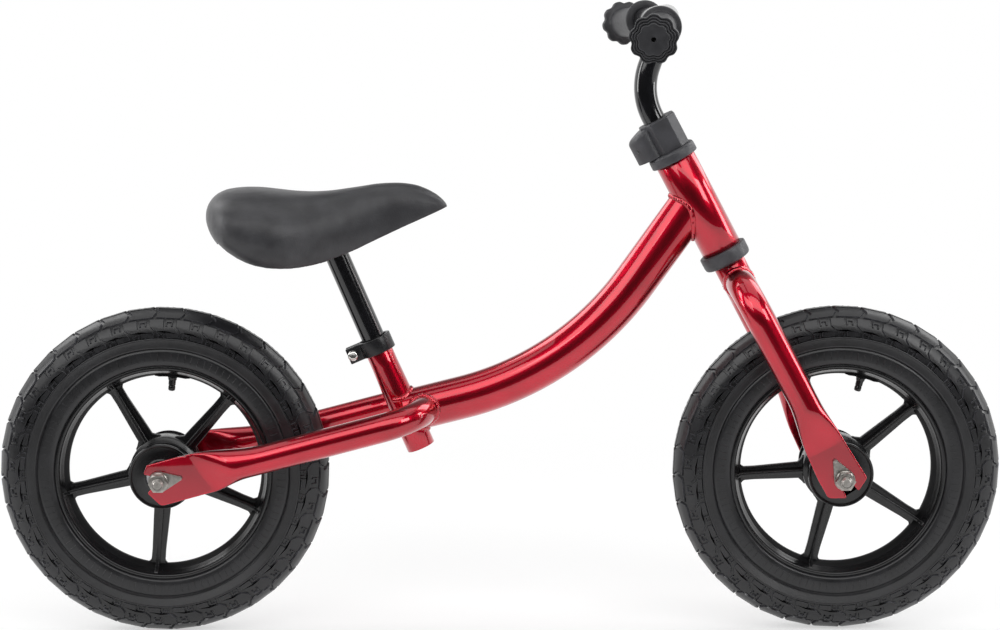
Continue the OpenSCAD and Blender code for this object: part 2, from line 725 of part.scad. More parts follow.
module rim_section() polygon([[rim_bore_d / 2, -2.5], [rim_bore_d / 2 + 1.5, -6],
    [rim_d / 2 - 5, -rim_w / 2 + 3], [rim_d / 2 - 4, -rim_w / 2],
    [rim_d / 2, -rim_w / 2], [rim_d / 2, -rim_w / 2 + lip_t], [channel_d / 2, -rim_w / 2 + lip_t + 2],
    [channel_d / 2, rim_w / 2 - lip_t - 2], [rim_d / 2, rim_w / 2 - lip_t], [rim_d / 2, rim_w / 2],
    [rim_d / 2 - 4, rim_w / 2], [rim_d / 2 - 5, rim_w / 2 - 3], [rim_bore_d / 2 + 1.5, 6],
    [rim_bore_d / 2, 2.5]]);

module tyre() color("#2b2b2d") rotate([90, 0, 0])
    rotate_extrude($fn = fine_fn) tyre_section();

module spoke() {
    inner = hub_barrel_d / 2 - 3;
    outer = rim_bore_d / 2 + 4;
    translate([inner, 0, -spoke_web_t / 2]) linear_extrude(height = spoke_web_t)
        polygon([[0, -spoke_w / 2], [outer - inner, -spoke_w / 2 + 1.2],
            [outer - inner, spoke_w / 2 - 1.2], [0, spoke_w / 2]]);
    translate([inner, -spoke_rib_w / 2, -9]) cube([outer - inner, spoke_rib_w, 18]);
}

module rim(valve_at) color("#1c1c1e") rotate([90, 0, 0]) difference() {
    union() {
        rotate_extrude($fn = fine_fn) rim_section();
        for (i = [0 : spokes - 1]) rotate([0, 0, valve_at + 180 / spokes + i * 360 / spokes]) spoke();
        cylinder(h = 22, r = hub_ring_d / 2, center = true);
        cylinder(h = hub_w - 6, r = hub_barrel_d / 2, center = true);
        for (side = [-1, 1]) translate([0, 0, side * (hub_side - 1.5)])
            cylinder(h = 3, r = hub_disc_d / 2, center = true);
        rotate([0, 0, valve_at]) translate([rim_bore_d / 2 + 2, 0, 0]) rotate([0, -90, 0])
            cylinder(h = valve_len + 2, r = valve_d / 2);
    }
    cylinder(h = hub_w + cut, r = axle_r + 4, center = true);
    for (side = [-1, 1]) translate([0, 0, side * (hub_side - bearing_w / 2 + cut / 2)])
        cylinder(h = bearing_w + cut, r = bearing_r, center = true);
}

module hub_bearings() both_sides() difference() {
    across(hub_side - bearing_w, bearing_w, bearing_r);
    across(hub_side - bearing_w - cut, bearing_w + 2 * cut, axle_r + run_fit);
}

module rear_tyre() at_rear() tyre();
module rear_rim() at_rear() rim(rear_valve_at);
module rear_hub_bearings() color(zinc) at_rear() hub_bearings();
module front_tyre() translate([front_x, 0, axle_z]) tyre();
module front_rim() translate([front_x, 0, axle_z]) rim(front_valve_at);
module front_hub_bearings() color(zinc) translate([front_x, 0, axle_z]) hub_bearings();

main_tube();
head_tube();
seat_tube();
stay_right();
stay_left();
seat_clamp();
seat_clamp_bolt();
seat_clamp_nut();
headset_lower_cup();
headset_upper_cup();
rear_axle();
rear_axle_nuts();
rear_hook_washers();
rear_axle_spacers();
fork_steerer();
fork_crown();
fork_leg_right();
fork_leg_left();
front_axle();
front_axle_nuts();
front_hook_washers();
front_axle_spacers();
stem_collar();
stem_collar_bolt();
stem_collar_nut();
stem_collar_cover();
stem();
crossbar();
grip_right();
grip_left();
seat_post();
post_plate();
saddle_screws();
saddle_base();
saddle_pad();
rear_tyre();
rear_rim();
rear_hub_bearings();
front_tyre();
front_rim();
front_hub_bearings();
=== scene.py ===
import math

import bmesh
import bpy
from mathutils import Euler, Matrix, Vector


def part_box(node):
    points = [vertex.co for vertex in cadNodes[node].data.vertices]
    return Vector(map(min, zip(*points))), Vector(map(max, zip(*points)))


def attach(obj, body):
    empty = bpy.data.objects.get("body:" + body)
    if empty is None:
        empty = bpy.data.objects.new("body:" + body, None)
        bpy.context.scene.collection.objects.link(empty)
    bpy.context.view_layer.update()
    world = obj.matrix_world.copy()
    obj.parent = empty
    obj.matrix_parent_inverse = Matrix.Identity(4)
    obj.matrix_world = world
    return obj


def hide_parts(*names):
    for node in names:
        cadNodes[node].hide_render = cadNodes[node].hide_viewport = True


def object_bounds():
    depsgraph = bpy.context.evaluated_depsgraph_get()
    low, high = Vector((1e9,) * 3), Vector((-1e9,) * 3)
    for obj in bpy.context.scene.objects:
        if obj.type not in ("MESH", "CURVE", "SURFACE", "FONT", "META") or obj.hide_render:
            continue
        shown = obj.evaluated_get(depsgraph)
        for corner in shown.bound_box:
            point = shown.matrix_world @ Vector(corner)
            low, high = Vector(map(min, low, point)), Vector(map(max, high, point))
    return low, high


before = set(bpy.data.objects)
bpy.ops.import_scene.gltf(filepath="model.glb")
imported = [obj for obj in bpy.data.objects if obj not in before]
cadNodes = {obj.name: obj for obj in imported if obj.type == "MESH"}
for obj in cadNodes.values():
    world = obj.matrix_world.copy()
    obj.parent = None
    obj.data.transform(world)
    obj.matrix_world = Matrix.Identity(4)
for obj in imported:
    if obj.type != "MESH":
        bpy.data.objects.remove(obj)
cadLow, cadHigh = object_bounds()
print("balance bike: frame loaded,", len(cadNodes), "CAD nodes")

# Shapes are drawn in millimetres and made metres once, when a piece is kept
mm = 0.001


def turn(degrees, axis):
    return Matrix.Rotation(math.radians(degrees), 4, axis)


def shift(x, y, z):
    return Matrix.Translation((x, y, z))


def polar(radius, degrees):
    a = math.radians(degrees)
    return radius * math.cos(a), radius * math.sin(a)


def eased(t):
    # 0 to 1 with a soft start and a soft stop
    t = min(1.0, max(0.0, t))
    return t * t * (3 - 2 * t)


def middleOf(node):
    low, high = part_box(node)
    return (low + high) / 2 / mm


# Leans and slopes in degrees; heights up the steering axis and the seat tube; the seat tube's foot from the rear axle
bike = {
    "headLean": 28.0, "headLow": 221.0, "headHigh": 310.0, "headMeet": 0.57, "stemBendAt": 352.5,
    "seatLean": 23.2, "seatFoot": (226.2, 19.7), "seatMeet": 34.5,
    "mainSlope": 14.0, "mainTopSlope": 54.5, "mainBend": 265.0,
}
rearAxle = middleOf("rear_axle")
frontAxle = middleOf("front_axle")
steerFrame = Matrix.Translation(frontAxle) @ turn(-bike["headLean"], "Y")
seatFrame = shift(rearAxle.x + bike["seatFoot"][0], 0, rearAxle.z + bike["seatFoot"][1]) @ turn(-bike["seatLean"], "Y")


def upSteer(along):
    return steerFrame @ shift(0, 0, along)


def upSeat(along, forward=0):
    return seatFrame @ Vector((forward, 0, along))


def srgb(hexColour):
    parts = [int(hexColour[i:i + 2], 16) / 255 for i in (1, 3, 5)]
    return tuple(c / 12.92 if c <= 0.04045 else ((c + 0.055) / 1.055) ** 2.4 for c in parts) + (1.0,)


def addNode(tree, kind, links=None, **settings):
    node = tree.nodes.new(kind)
    for name, value in settings.items():
        if hasattr(node, name):
            setattr(node, name, value)
        else:
            node.inputs[name.replace("_", " ")].default_value = value
    for name, source in (links or {}).items():
        tree.links.new(source, node.inputs[name])
    return node


def newFinish(look):
    material = bpy.data.materials.new(look["name"])
    material.use_nodes = True
    tree = material.node_tree
    shader = tree.nodes["Principled BSDF"]
    place = addNode(tree, "ShaderNodeTexCoord").outputs["Object"]

    def pattern(size, detail, uneven=0.5):
        # Noise with its detail and roughness, or cells where the detail is their settings; size in mm across a feature
        if isinstance(detail, dict):
            kind, settings = "ShaderNodeTexVoronoi", detail
        else:
            kind, settings = "ShaderNodeTexNoise", {"Detail": detail, "Roughness": uneven}
        return addNode(tree, kind, {"Vector": place}, Scale=1 / (size * mm), **settings).outputs[0]

    ramp = addNode(tree, "ShaderNodeValToRGB", {"Fac": pattern(*look["cloud"])})
    for stop, position, colour in zip(ramp.color_ramp.elements, (0.3, 0.7), look["colours"]):
        stop.position, stop.color = position, srgb(colour)
    tree.links.new(ramp.outputs["Color"], shader.inputs["Base Color"])
    if "patches" in look:
        low, high = look["rough"]
        spread = addNode(tree, "ShaderNodeMapRange", {"Value": pattern(*look["patches"])}, To_Min=low, To_Max=high)
        tree.links.new(spread.outputs["Result"], shader.inputs["Roughness"])
    else:
        shader.inputs["Roughness"].default_value = look["rough"]
    links = {}
    for strength, depth, *relief in look["bumps"]:  # each lies over the one before
        links["Height"] = pattern(*relief)
        bump = addNode(tree, "ShaderNodeBump", links, Strength=strength, Distance=depth)
        links = {"Normal": bump.outputs["Normal"]}
        tree.links.new(bump.outputs["Normal"], shader.inputs["Normal"])
    for socket, value in look["sockets"].items():
        shader.inputs[socket].default_value = value
    return material


# Each finish has the slot its pieces take, two colours and the cloud that mixes them, its roughness or two ends of it
# and their patches, and bumps of (strength, depth in metres, relief). A cloud, patches or relief is mm across, detail
# and roughness of noise, or mm across and settings of cells.
mouldedPlastic = {"cloud": (11, 3.0), "patches": (4, 2.0), "bumps": [(0.12, 0.0002, 0.9, 2.0)],
                  "sockets": {"IOR": 1.49}}
smallSteel = {"cloud": (2.5, 4.0, 0.7), "patches": (1.4, 3.0), "bumps": [(0.1, 0.0001, 0.8, 2.0)],
              "sockets": {"Metallic": 1.0}}
finishLooks = {
    # ground steel under transparent red lacquer: the metal glows through deep red, the clear coat mirrors sharply
    "red": {
        "slot": "red_paint", "name": "candyRedLacquerSprayed", "colours": ("#ac021f", "#c20427"), "cloud": (40, 1.0),
        "rough": (0.29, 0.35), "patches": (12, 2.0), "bumps": [(0.006, 0.0006, 16, 1.0)],
        "sockets": {"Metallic": 1.0, "Coat Weight": 1.0, "Coat Roughness": 0.02, "Coat IOR": 1.62},
    },
    # black powder coat on steel tube: even gloss with slight orange peel
    "gloss": {
        "slot": "black_paint", "name": "blackPowderCoatGloss", "colours": ("#0b0b0d", "#131316"), "cloud": (14, 2.0),
        "rough": 0.13, "bumps": [(0.008, 0.0004, 5, 1.0)],
        "sockets": {"Coat Weight": 0.5, "Coat Roughness": 0.04, "IOR": 1.5},
    },
    # pressed steel with satin black paint: a little uneven
    "satin": {
        "slot": "black_paint", "name": "blackPaintedSteelPressed", "colours": ("#0e0e10", "#18181b"),
        "cloud": (6, 3.0), "rough": (0.26, 0.4), "patches": (3, 2.0), "bumps": [(0.06, 0.0002, 0.9, 2.0)],
        "sockets": {"IOR": 1.5},
    },
    # spark-eroded mould texture on grey plastic: soft, slightly uneven sheen
    "headset": {
        **mouldedPlastic, "slot": "grey_plastic", "name": "polypropyleneGreyMoulded",
        "colours": ("#38383b", "#444448"), "rough": (0.38, 0.5),
    },
    # the same texture in black
    "base": {
        **mouldedPlastic, "name": "polypropyleneBlackMoulded", "colours": ("#161618", "#222225"),
        "rough": (0.44, 0.56),
    },
    # injection-moulded nylon: glossy black with faint flow lines
    "rim": {
        "slot": "rim_plastic", "name": "nylonBlackInjectionMoulded", "colours": ("#0b0b0c", "#141416"),
        "cloud": (30, 4.0, 0.65), "rough": (0.17, 0.31), "patches": (7, 2.0), "bumps": [(0.05, 0.0003, 3.0, 2.0)],
        "sockets": {"IOR": 1.53},
    },
    # the same nylon where the mould's core left it matt
    "rimMatt": {
        "name": "nylonBlackInjectionMouldedMatt", "colours": ("#080809", "#101012"), "cloud": (20, 3.0),
        "rough": 0.62, "bumps": [(0.15, 0.0003, 1.6, 2.0)], "sockets": {"IOR": 1.4, "Specular IOR Level": 0.25},
    },
    # moulded EVA foam: closed-cell skin, dull black with pores
    "tyre": {
        "slot": "tyre_foam", "name": "evaFoamMoulded", "colours": ("#111113", "#1c1c1f"), "cloud": (18, 4.0, 0.6),
        "rough": (0.26, 0.4), "patches": (9, 3.0),
        "bumps": [(0.05, 0.0002, 0.9, {"feature": "F1"}), (0.06, 0.0003, 2.6, 3.0)], "sockets": {"IOR": 1.55},
    },
    # painted highlight on the tread blocks' edges: greyer than the skin, standing in for the light the edges catch,
    # and glossier too
    "edgeHighlight": {
        "name": "evaFoamMouldedEdgeHighlight", "colours": ("#2e2e31", "#525256"), "cloud": (14, 3.0), "rough": (0.22, 0.36),
        "patches": (5, 2.0), "bumps": [(0.05, 0.0003, 2.6, 3.0)], "sockets": {"IOR": 1.55},
    },
    # moulded thermoplastic rubber: dark grey, dry satin skin with fine mould grain
    "grip": {
        "slot": "grip_rubber", "name": "thermoplasticRubberMoulded", "colours": ("#242427", "#313134"),
        "cloud": (8, 3.0), "rough": (0.42, 0.58), "patches": (3, 2.0), "bumps": [(0.12, 0.0002, 0.8, 2.0)],
        "sockets": {"IOR": 1.5},
    },
    # polyurethane skin moulded on foam: satin black-grey with a fine leather-like pebble
    "saddle": {
        "slot": "saddle_skin", "name": "polyurethaneSkinMoulded", "colours": ("#242427", "#363639"),
        "cloud": (16, 4.0), "rough": (0.4, 0.5), "patches": (9, 3.0),
        "bumps": [(0.3, 0.0003, 1.3, {"feature": "SMOOTH_F1", "Smoothness": 0.6}), (0.05, 0.0004, 4, 3.0)],
        "sockets": {"IOR": 1.5, "Sheen Weight": 0.08, "Sheen Roughness": 0.4},
    },
    # barrel-plated zinc on steel: warm grey metal with small scuffs from tumbling
    "zinc": {
        **smallSteel, "slot": "zinc", "name": "zincPlatedSteelBarrelPlated", "colours": ("#8d8984", "#b9b5b0"),
        "rough": (0.22, 0.44),
    },
    # ground bearing steel: cooler and smoother
    "bearing": {
        **smallSteel, "name": "bearingSteelGround", "colours": ("#9b9b9d", "#c4c4c6"), "rough": (0.14, 0.36),
    },
    # turned steel with bright nickel on it
    "bolt": {
        **smallSteel, "slot": "zinc", "name": "nickelPlatedSteelTurned", "colours": ("#c9c7c4", "#eceae6"),
        "rough": (0.12, 0.34),
    },
    # matt backdrop paper: near white, hardly any sheen
    "paper": {
        "name": "paperBackdropMatt", "colours": ("#f7f7f7", "#fafafa"), "cloud": (300, 1.0), "rough": 0.9,
        "bumps": [], "sockets": {"Specular IOR Level": 0.1},
    },
}
finishes = {key: newFinish(look) for key, look in finishLooks.items()}
print("balance bike:", len(finishes), "materials mixed")


def newObject(name, data):
    made = bpy.data.objects.new(name, data)
    bpy.context.scene.collection.objects.link(made)
    return made


def meshObject(name, bm):
    mesh = bpy.data.meshes.new(name)
    bm.to_mesh(mesh)
    bm.free()
    return newObject(name, mesh)


def shadeSmooth(mesh, degrees):
    for face in mesh.polygons:
        face.use_smooth = True
    mesh.set_sharp_from_angle(angle=math.radians(degrees))


def keepPiece(name, bm, finish, body, nodes, smooth, crisp=False, second=None):
    # Merge doubles, face outwards, go to metres, ride its body
    bmesh.ops.remove_doubles(bm, verts=bm.verts, dist=0.004)
    bmesh.ops.recalc_face_normals(bm, faces=bm.faces)
    bmesh.ops.scale(bm, vec=(mm, mm, mm), verts=bm.verts)
    piece = meshObject(name, bm)
    piece.data.materials.append(finishes[finish])
    if second:
        piece.data.materials.append(finishes[second])
    shadeSmooth(piece.data, smooth)
    if crisp:  # broad faces keep their own shading beside narrow bevels
        piece.modifiers.new("flats", "WEIGHTED_NORMAL").keep_sharp = True
    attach(piece, body)
    if nodes:  # a weld bead stands for none
        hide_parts(*nodes)
    return piece


def newVertsOf(result):
    return [g for g in result["geom"] if isinstance(g, bmesh.types.BMVert)]


def newEdgesOf(result):
    fresh = set(newVertsOf(result))
    return [g for g in result["geom"] if isinstance(g, bmesh.types.BMEdge) and fresh.issuperset(g.verts)]


def newSince(bm, old):
    return [vert for vert in bm.verts if vert not in old]


def edgesOf(verts):
    return list({edge for vert in verts for edge in vert.link_edges})


def sharpOf(edges, degrees):
    return [e for e in edges if len(e.link_faces) == 2 and e.calc_face_angle(0) > math.radians(degrees)]


def thicken(bm, faces, height):
    # Flat faces given thickness; the vertices of their top come back
    top = newVertsOf(bmesh.ops.extrude_face_region(bm, geom=faces))
    bmesh.ops.translate(bm, vec=(0, 0, height), verts=top)
    return top


def raised(bm, outline, height):
    return thicken(bm, [bm.faces.new([bm.verts.new((x, y, 0)) for x, y in outline])], height)


def soften(bm, edges, width, segments, **more):
    return bmesh.ops.bevel(bm, geom=edges, offset=width, offset_type="OFFSET", segments=segments, profile=0.5,
                           affect="EDGES", material=-1, **more)


def spinCopies(bm, verts, count):
    # Repeat a shape all the way round the wheel
    geom = verts + edgesOf(verts) + list({face for vert in verts for face in vert.link_faces})
    bmesh.ops.spin(bm, geom=geom, cent=(0, 0, 0), axis=(0, 0, 1), dvec=(0, 0, 0),
                   angle=math.tau * (count - 1) / count, steps=count - 1, use_merge=False, use_duplicate=True,
                   use_normal_flip=False)


def lathe(bm, place, outline, steps, closed=False):
    # Spin an outline of (radius, along) round the place's own Z
    old = set(bm.verts)
    points = [bm.verts.new((r, 0, z)) for r, z in outline]
    edges = [bm.edges.new(pair) for pair in zip(points, points[1:])]
    if closed:
        edges.append(bm.edges.new((points[-1], points[0])))
    bmesh.ops.spin(bm, geom=points + edges, cent=(0, 0, 0), axis=(0, 0, 1), dvec=(0, 0, 0),
                   angle=math.tau, steps=steps, use_merge=True, use_normal_flip=False)
    bmesh.ops.transform(bm, matrix=place, verts=newSince(bm, old))


def turnPiece(name, place, outline, finish, body, node, steps, smooth, closed=True, crisp=False):
    bm = bmesh.new()
    lathe(bm, place, outline, steps, closed)
    keepPiece(name, bm, finish, body, [node], smooth, crisp)


def sleeve(inner, outer, low, high, lip):
    # Section of a plain tube with softened ends
    return [(inner, low), (outer - lip, low), (outer, low + lip), (outer, (low + high) / 2), (outer, high - lip),
            (outer - lip, high), (inner, high)]


def sweep(bm, stations, segments=48, caps=(True, True), shape=None):
    # Carry a ring through stations of (matrix, wide, high); shape() may press each ring
    ring = bmesh.ops.create_circle(bm, cap_ends=False, segments=segments, radius=1.0)["verts"]
    flat = [vert.co.copy() for vert in ring]
    order = {vert: k for k, vert in enumerate(ring)}
    edges = edgesOf(ring)
    rings = []
    for index, (place, wide, high) in enumerate(stations):
        if index:
            made = bmesh.ops.extrude_edge_only(bm, edges=edges)
            edges, last, order = newEdgesOf(made), order, {}
            for vert in newVertsOf(made):  # match each new vertex with the one it came from
                order[vert] = next(last[e.other_vert(vert)] for e in vert.link_edges if e.other_vert(vert) in last)
        for vert, k in order.items():
            x, y = flat[k].x, flat[k].y
            if shape:
                x, y = shape(index, x, y)
            vert.co = place @ Vector((x * wide, y * high, 0))
        rings.append(edges)
    for wanted, edgeRing in zip(caps, (rings[0], rings[-1])):
        if wanted:
            bmesh.ops.holes_fill(bm, edges=edgeRing, sides=segments + 2)
    return rings


def sweepPiece(name, stations, finish, body, node, segments, smooth, shape=None):
    bm = bmesh.new()
    sweep(bm, stations, segments, shape=shape)
    return keepPiece(name, bm, finish, body, [node], smooth)


def alongBend(start, low, bendRadius, degrees, high, step, finer):
    # Stations up a straight run, round a bend towards the place's +X, and up a second straight run
    length = low[1] - low[0]
    runs = max(1, round(length / step))
    stations = [start @ shift(0, 0, low[0] + length * k / runs) for k in range(runs)]
    bends = max(4, round(degrees / finer))
    for k in range(bends + 1):
        across, up = polar(bendRadius, degrees * k / bends)
        stations.append(start @ shift(bendRadius - across, 0, low[1] + up) @ turn(degrees * k / bends, "Y"))
    runs = max(1, round(high / step))
    return stations + [stations[-1] @ shift(0, 0, high * k / runs) for k in range(1, runs + 1)]


weld = {"ripple": 2.4, "rise": 0.26, "wander": 0.10, "drift": 0.9, "flat": 0.62, "steady": 0.93, "seatHalf": 112}


def weldBead(name, seam, body, size, closed=True, finish="red"):
    # A painted weld: a bead along a seam, rippled where each drop of metal froze
    points, normals = seam
    bm = bmesh.new()
    travelled = 0.0
    stations = []
    count = len(points)
    for k, point in enumerate(points):
        ahead = points[(k + 1) % count] if closed else points[min(k + 1, count - 1)]
        behind = points[k - 1] if closed else points[max(k - 1, 0)]
        along = (ahead - behind).normalized()
        out = (normals[k] - along * normals[k].dot(along)).normalized()
        swell = 1 + weld["rise"] * math.sin(math.tau * travelled / weld["ripple"]) \
            + weld["wander"] * math.sin(travelled * weld["drift"])
        place = Matrix((out.cross(along), out, along)).transposed().to_4x4()
        place.translation = point
        stations.append((place, size * (weld["steady"] + (1 - weld["steady"]) * swell), size * weld["flat"] * swell))
        if k + 1 < count:
            travelled += (points[k + 1] - point).length
    rings = sweep(bm, stations, segments=10, caps=(not closed, not closed))
    if closed:
        bmesh.ops.bridge_loops(bm, edges=list(set(rings[0]) | set(rings[-1])))
    keepPiece(name, bm, finish, body, [], smooth=60)


def roundSeam(branch, branchRadius, trunk, trunkRadius, count, low=0.0, high=math.tau, flip=1, reach=0.0,
              squash=1.0):
    # The seam where a round branch, standing along its place's Z, meets a round trunk
    inverse = trunk.inverted()
    along = (branch.to_3x3() @ Vector((0, 0, 1))).normalized() * flip
    ray = inverse.to_3x3() @ along
    qa = ray.x ** 2 + ray.y ** 2
    parts = count if abs(high - low - math.tau) < 0.01 else count - 1  # a full round ends where it starts
    points, normals = [], []
    for k in range(count):
        a = low + (high - low) * k / parts
        base = branch @ Vector((branchRadius * math.cos(a), branchRadius * squash * math.sin(a), 0))
        start = inverse @ base
        qb = start.x * ray.x + start.y * ray.y
        qc = start.x ** 2 + start.y ** 2 - trunkRadius ** 2
        point = base + along * ((math.sqrt(max(qb * qb - qa * qc, reach)) - qb) / qa)
        local = inverse @ point
        outTrunk = (trunk.to_3x3() @ Vector((local.x, local.y, 0))).normalized()
        outBranch = (branch.to_3x3() @ Vector((math.cos(a), math.sin(a), 0))).normalized()
        points.append(point)
        normals.append((outTrunk + outBranch).normalized())
    return points, normals


mainTube = {"radius": 19.0, "headGap": 9.0, "mouth": 15.8, "drawnIn": 75.0, "footLip": (0.6, 1.0)}
headTube = {"radius": 18.0, "bore": 15.0, "lip": 0.5}
seatTube = {"footRadius": 12.7, "topRadius": 12.0, "length": 105.0, "bore": 10.48, "taper": (58.0, 77.0)}

meet = upSeat(bike["seatMeet"])
mainFrame = Matrix.Translation(meet) @ turn(90 - bike["mainSlope"], "Y") @ turn(180, "Z")
headMeet = upSteer(bike["headLow"] + (bike["headHigh"] - bike["headLow"]) * bike["headMeet"]).translation


def mainRun():
    # Lengths of the two straight runs that leave a bend of the given radius between them
    run, rise = headMeet.x - meet.x, headMeet.z - meet.z
    low, top = math.radians(bike["mainSlope"]), math.radians(bike["mainTopSlope"])
    turned = bike["mainTopSlope"] - bike["mainSlope"]
    tangent = bike["mainBend"] * math.tan(math.radians(turned / 2))
    before = (run * math.sin(top) - rise * math.cos(top)) / math.sin(top - low) - tangent
    after = (rise * math.cos(low) - run * math.sin(low)) / math.sin(top - low) - tangent
    return before, turned, after


def makeMainTube():
    before, turned, after = mainRun()
    places = alongBend(mainFrame, (0, before), bike["mainBend"], turned, after - mainTube["headGap"], step=8.0,
                       finer=1.5)
    r, (back, smaller) = mainTube["radius"], mainTube["footLip"]
    stations = [(places[0] @ shift(0, 0, -back), r - smaller, r - smaller)]
    for place in places:  # drawn in towards the head tube
        near = 1 - (places[-1].translation - place.translation).length / mainTube["drawnIn"]
        stations.append((place, r, r + (mainTube["mouth"] - r) * eased(near)))
    sweepPiece("mainTube", stations, "red", "frame", "main_tube", segments=72, smooth=50)
    return places[-1]


def makeHeadTube():
    outline = sleeve(headTube["bore"], headTube["radius"], bike["headLow"], bike["headHigh"], headTube["lip"])
    turnPiece("headTube", steerFrame, outline, "red", "frame", "head_tube", steps=96, smooth=50)


def makeSeatTube():
    # Swaged tube, wide at its foot
    foot, top, bore, length = (seatTube[key] for key in ("footRadius", "topRadius", "bore", "length"))
    low, high = seatTube["taper"]
    outline = [(bore, 0), (foot - 0.5, 0), (foot, 0.5), (foot, 20), (foot, 40), (foot, low - 3), (foot - 0.1, low),
               ((foot + top) / 2, (low + high) / 2), (top + 0.1, high), (top, high + 3), (top, length - 0.4),
               (top - 0.4, length), (bore, length)]
    turnPiece("seatTube", seatFrame, outline, "red", "frame", "seat_tube", steps=72, smooth=50)


mainTop = makeMainTube()
makeHeadTube()
makeSeatTube()

# How a round tube's section looks where it is pressed flat: folds at both edges, as parts of a quarter turn
pressed = {"fold": 1.3, "edge": 0.07, "broad": 0.36, "steps": 30, "border": 0.12, "bevel": 1.0, "arc": 0.2}


def pressedRing(x, y, amount, wide, thick, radius):
    # A point of the unit circle, moved to a tube that runs from pressed flat (0) to round (1)
    half, fold, edge, broad = thick / 2, pressed["fold"], pressed["edge"], pressed["broad"]
    t = math.atan2(abs(y), abs(x)) / (math.pi / 2)
    across, up = polar(fold, 90 * min(1.0, max(0.0, (t - edge) / (broad - edge))))
    flatX, flatY = wide - fold + across, half - fold + up
    if t < edge:
        flatY = (half - fold) * t / edge
    if t > broad:
        flatX = (wide - fold) * (1 - t) / (1 - broad)
    return (math.copysign(flatX * (1 - amount) + wide * abs(x) * amount, x),
            math.copysign(flatY * (1 - amount) + radius * abs(y) * amount, y))


def pressedTube(bm, place, tube, arc):
    # The round tube and its pressed end; one edge may open out later than the other
    start, end, steps = tube["flatEnd"], tube["drawnTo"], pressed["steps"]
    alongs = [start - 1 + (end - start + 1) * k / steps for k in range(steps + 1)]
    stations = [(place @ shift(0, 0, along), 1.0, 1.0) for along in alongs]
    stations += [(matrix, 1.0, 1.0) for matrix in arc]

    def shape(index, x, y):
        amount = drawn = 1.0
        if index < len(alongs):
            wait = tube["late"] * (0.5 + 0.5 * x)
            amount = eased((alongs[index] - start - wait) / (tube["roundAt"] - start - tube["late"] * 0.5))
            drawn = eased((alongs[index] - start) / (end - start))
        inset = 0.03 * max(0.0, 1 - 30 * amount)
        wide = tube["edges"][0 if x < 0 else 1] - inset
        wide += (tube["radius"] - wide) * (drawn if x < 0 else amount)
        return pressedRing(x, y, amount, wide, tube["thick"] - 2 * inset, tube["radius"])

    sweep(bm, stations, segments=64, shape=shape)


def flatEnd(bm, place, outline, thick):
    # The pressed-flat plate, cut to its outline, with rounded folded edges
    old = set(bm.verts)
    raised(bm, outline, thick)
    bmesh.ops.translate(bm, vec=(0, 0, -thick / 2), verts=newSince(bm, old))
    rim = [e for e in bm.edges if e.verts[0] not in old and any(len(f.verts) > 4 for f in e.link_faces)]
    soften(bm, rim, pressed["bevel"], segments=3)
    broad = [f for f in bm.faces if len(f.verts) > 8 and f.verts[0] not in old]
    # a thin border keeps the folded edge's shading off the flat
    bmesh.ops.inset_region(bm, faces=broad, thickness=pressed["border"], depth=0, use_even_offset=True,
                           use_boundary=True)
    bmesh.ops.triangulate(bm, faces=broad, quad_method="BEAUTY", ngon_method="BEAUTY")
    bmesh.ops.transform(bm, matrix=place, verts=newSince(bm, old))


def roundedCorners(points):
    # Outline of (x, y, corner radius) with every corner rounded off
    made = []
    for k, (x, y, size) in enumerate(points):
        here = Vector((x, y))
        if size == pressed["arc"]:  # already part of an arc
            made.append(here)
            continue
        back = Vector(points[k - 1][:2]) - here
        ahead = Vector(points[(k + 1) % len(points)][:2]) - here
        reach = min(size, back.length * 0.45, ahead.length * 0.45)
        a, b = here + back.normalized() * reach, here + ahead.normalized() * reach
        made += [a * (1 - t) ** 2 + here * 2 * t * (1 - t) + b * t ** 2 for t in (0, 1 / 3, 2 / 3, 1)]
    return made


def slotArc(radius, start):
    # The closed end of the axle's slot: half a turn, clockwise
    return [polar(radius, start - 18 * k) + (pressed["arc"],) for k in range(11)]


def pressedLeg(name, node, body, side, tube, place, straight, across, plate, outline):
    # A round tube that bends in to the middle at one end and is pressed flat round the axle at the other
    arc = alongBend(place @ turn(-side * 90, "Z"), (tube["drawnTo"] + 8, straight), tube["bend"], 90, across,
                    step=9.0, finer=4.5)
    bm = bmesh.new()
    # the bend turns about its own X; the ring's turn stays that of the pressed part
    pressedTube(bm, place, tube, [m @ turn(side * 90, "Z") for m in arc])
    flatEnd(bm, plate @ turn(90, "X"), roundedCorners(outline), tube["thick"])
    keepPiece(name, bm, "red", body, [node], smooth=35, crisp=True)


# The plates' outlines are (x, z, corner radius) about the axle, above and below the slot
stay = {
    "radius": 12.5, "side": 52.5, "bend": 40.0, "joint": 16.4, "drop": 4.3, "edges": (20.8, 16.8), "inMain": 0.72,
    "flatEnd": 30.0, "roundAt": 68.0, "drawnTo": 96.0, "thick": 5.0, "late": 14.0, "slot": 5.0,
    "above": [(-10.5, 14.5, 1.5), (-13.5, 6.2, 2.0), (-8, 5.0, 1.0)],
    "below": [(-5.5, -5.6, 1.5), (-10.5, -10, 2.0), (1.5, -21.7, 3.0)],
    "top": (18, 22.2, 6.0),
}
jointPoint = mainFrame @ Vector((0, 0, stay["joint"]))


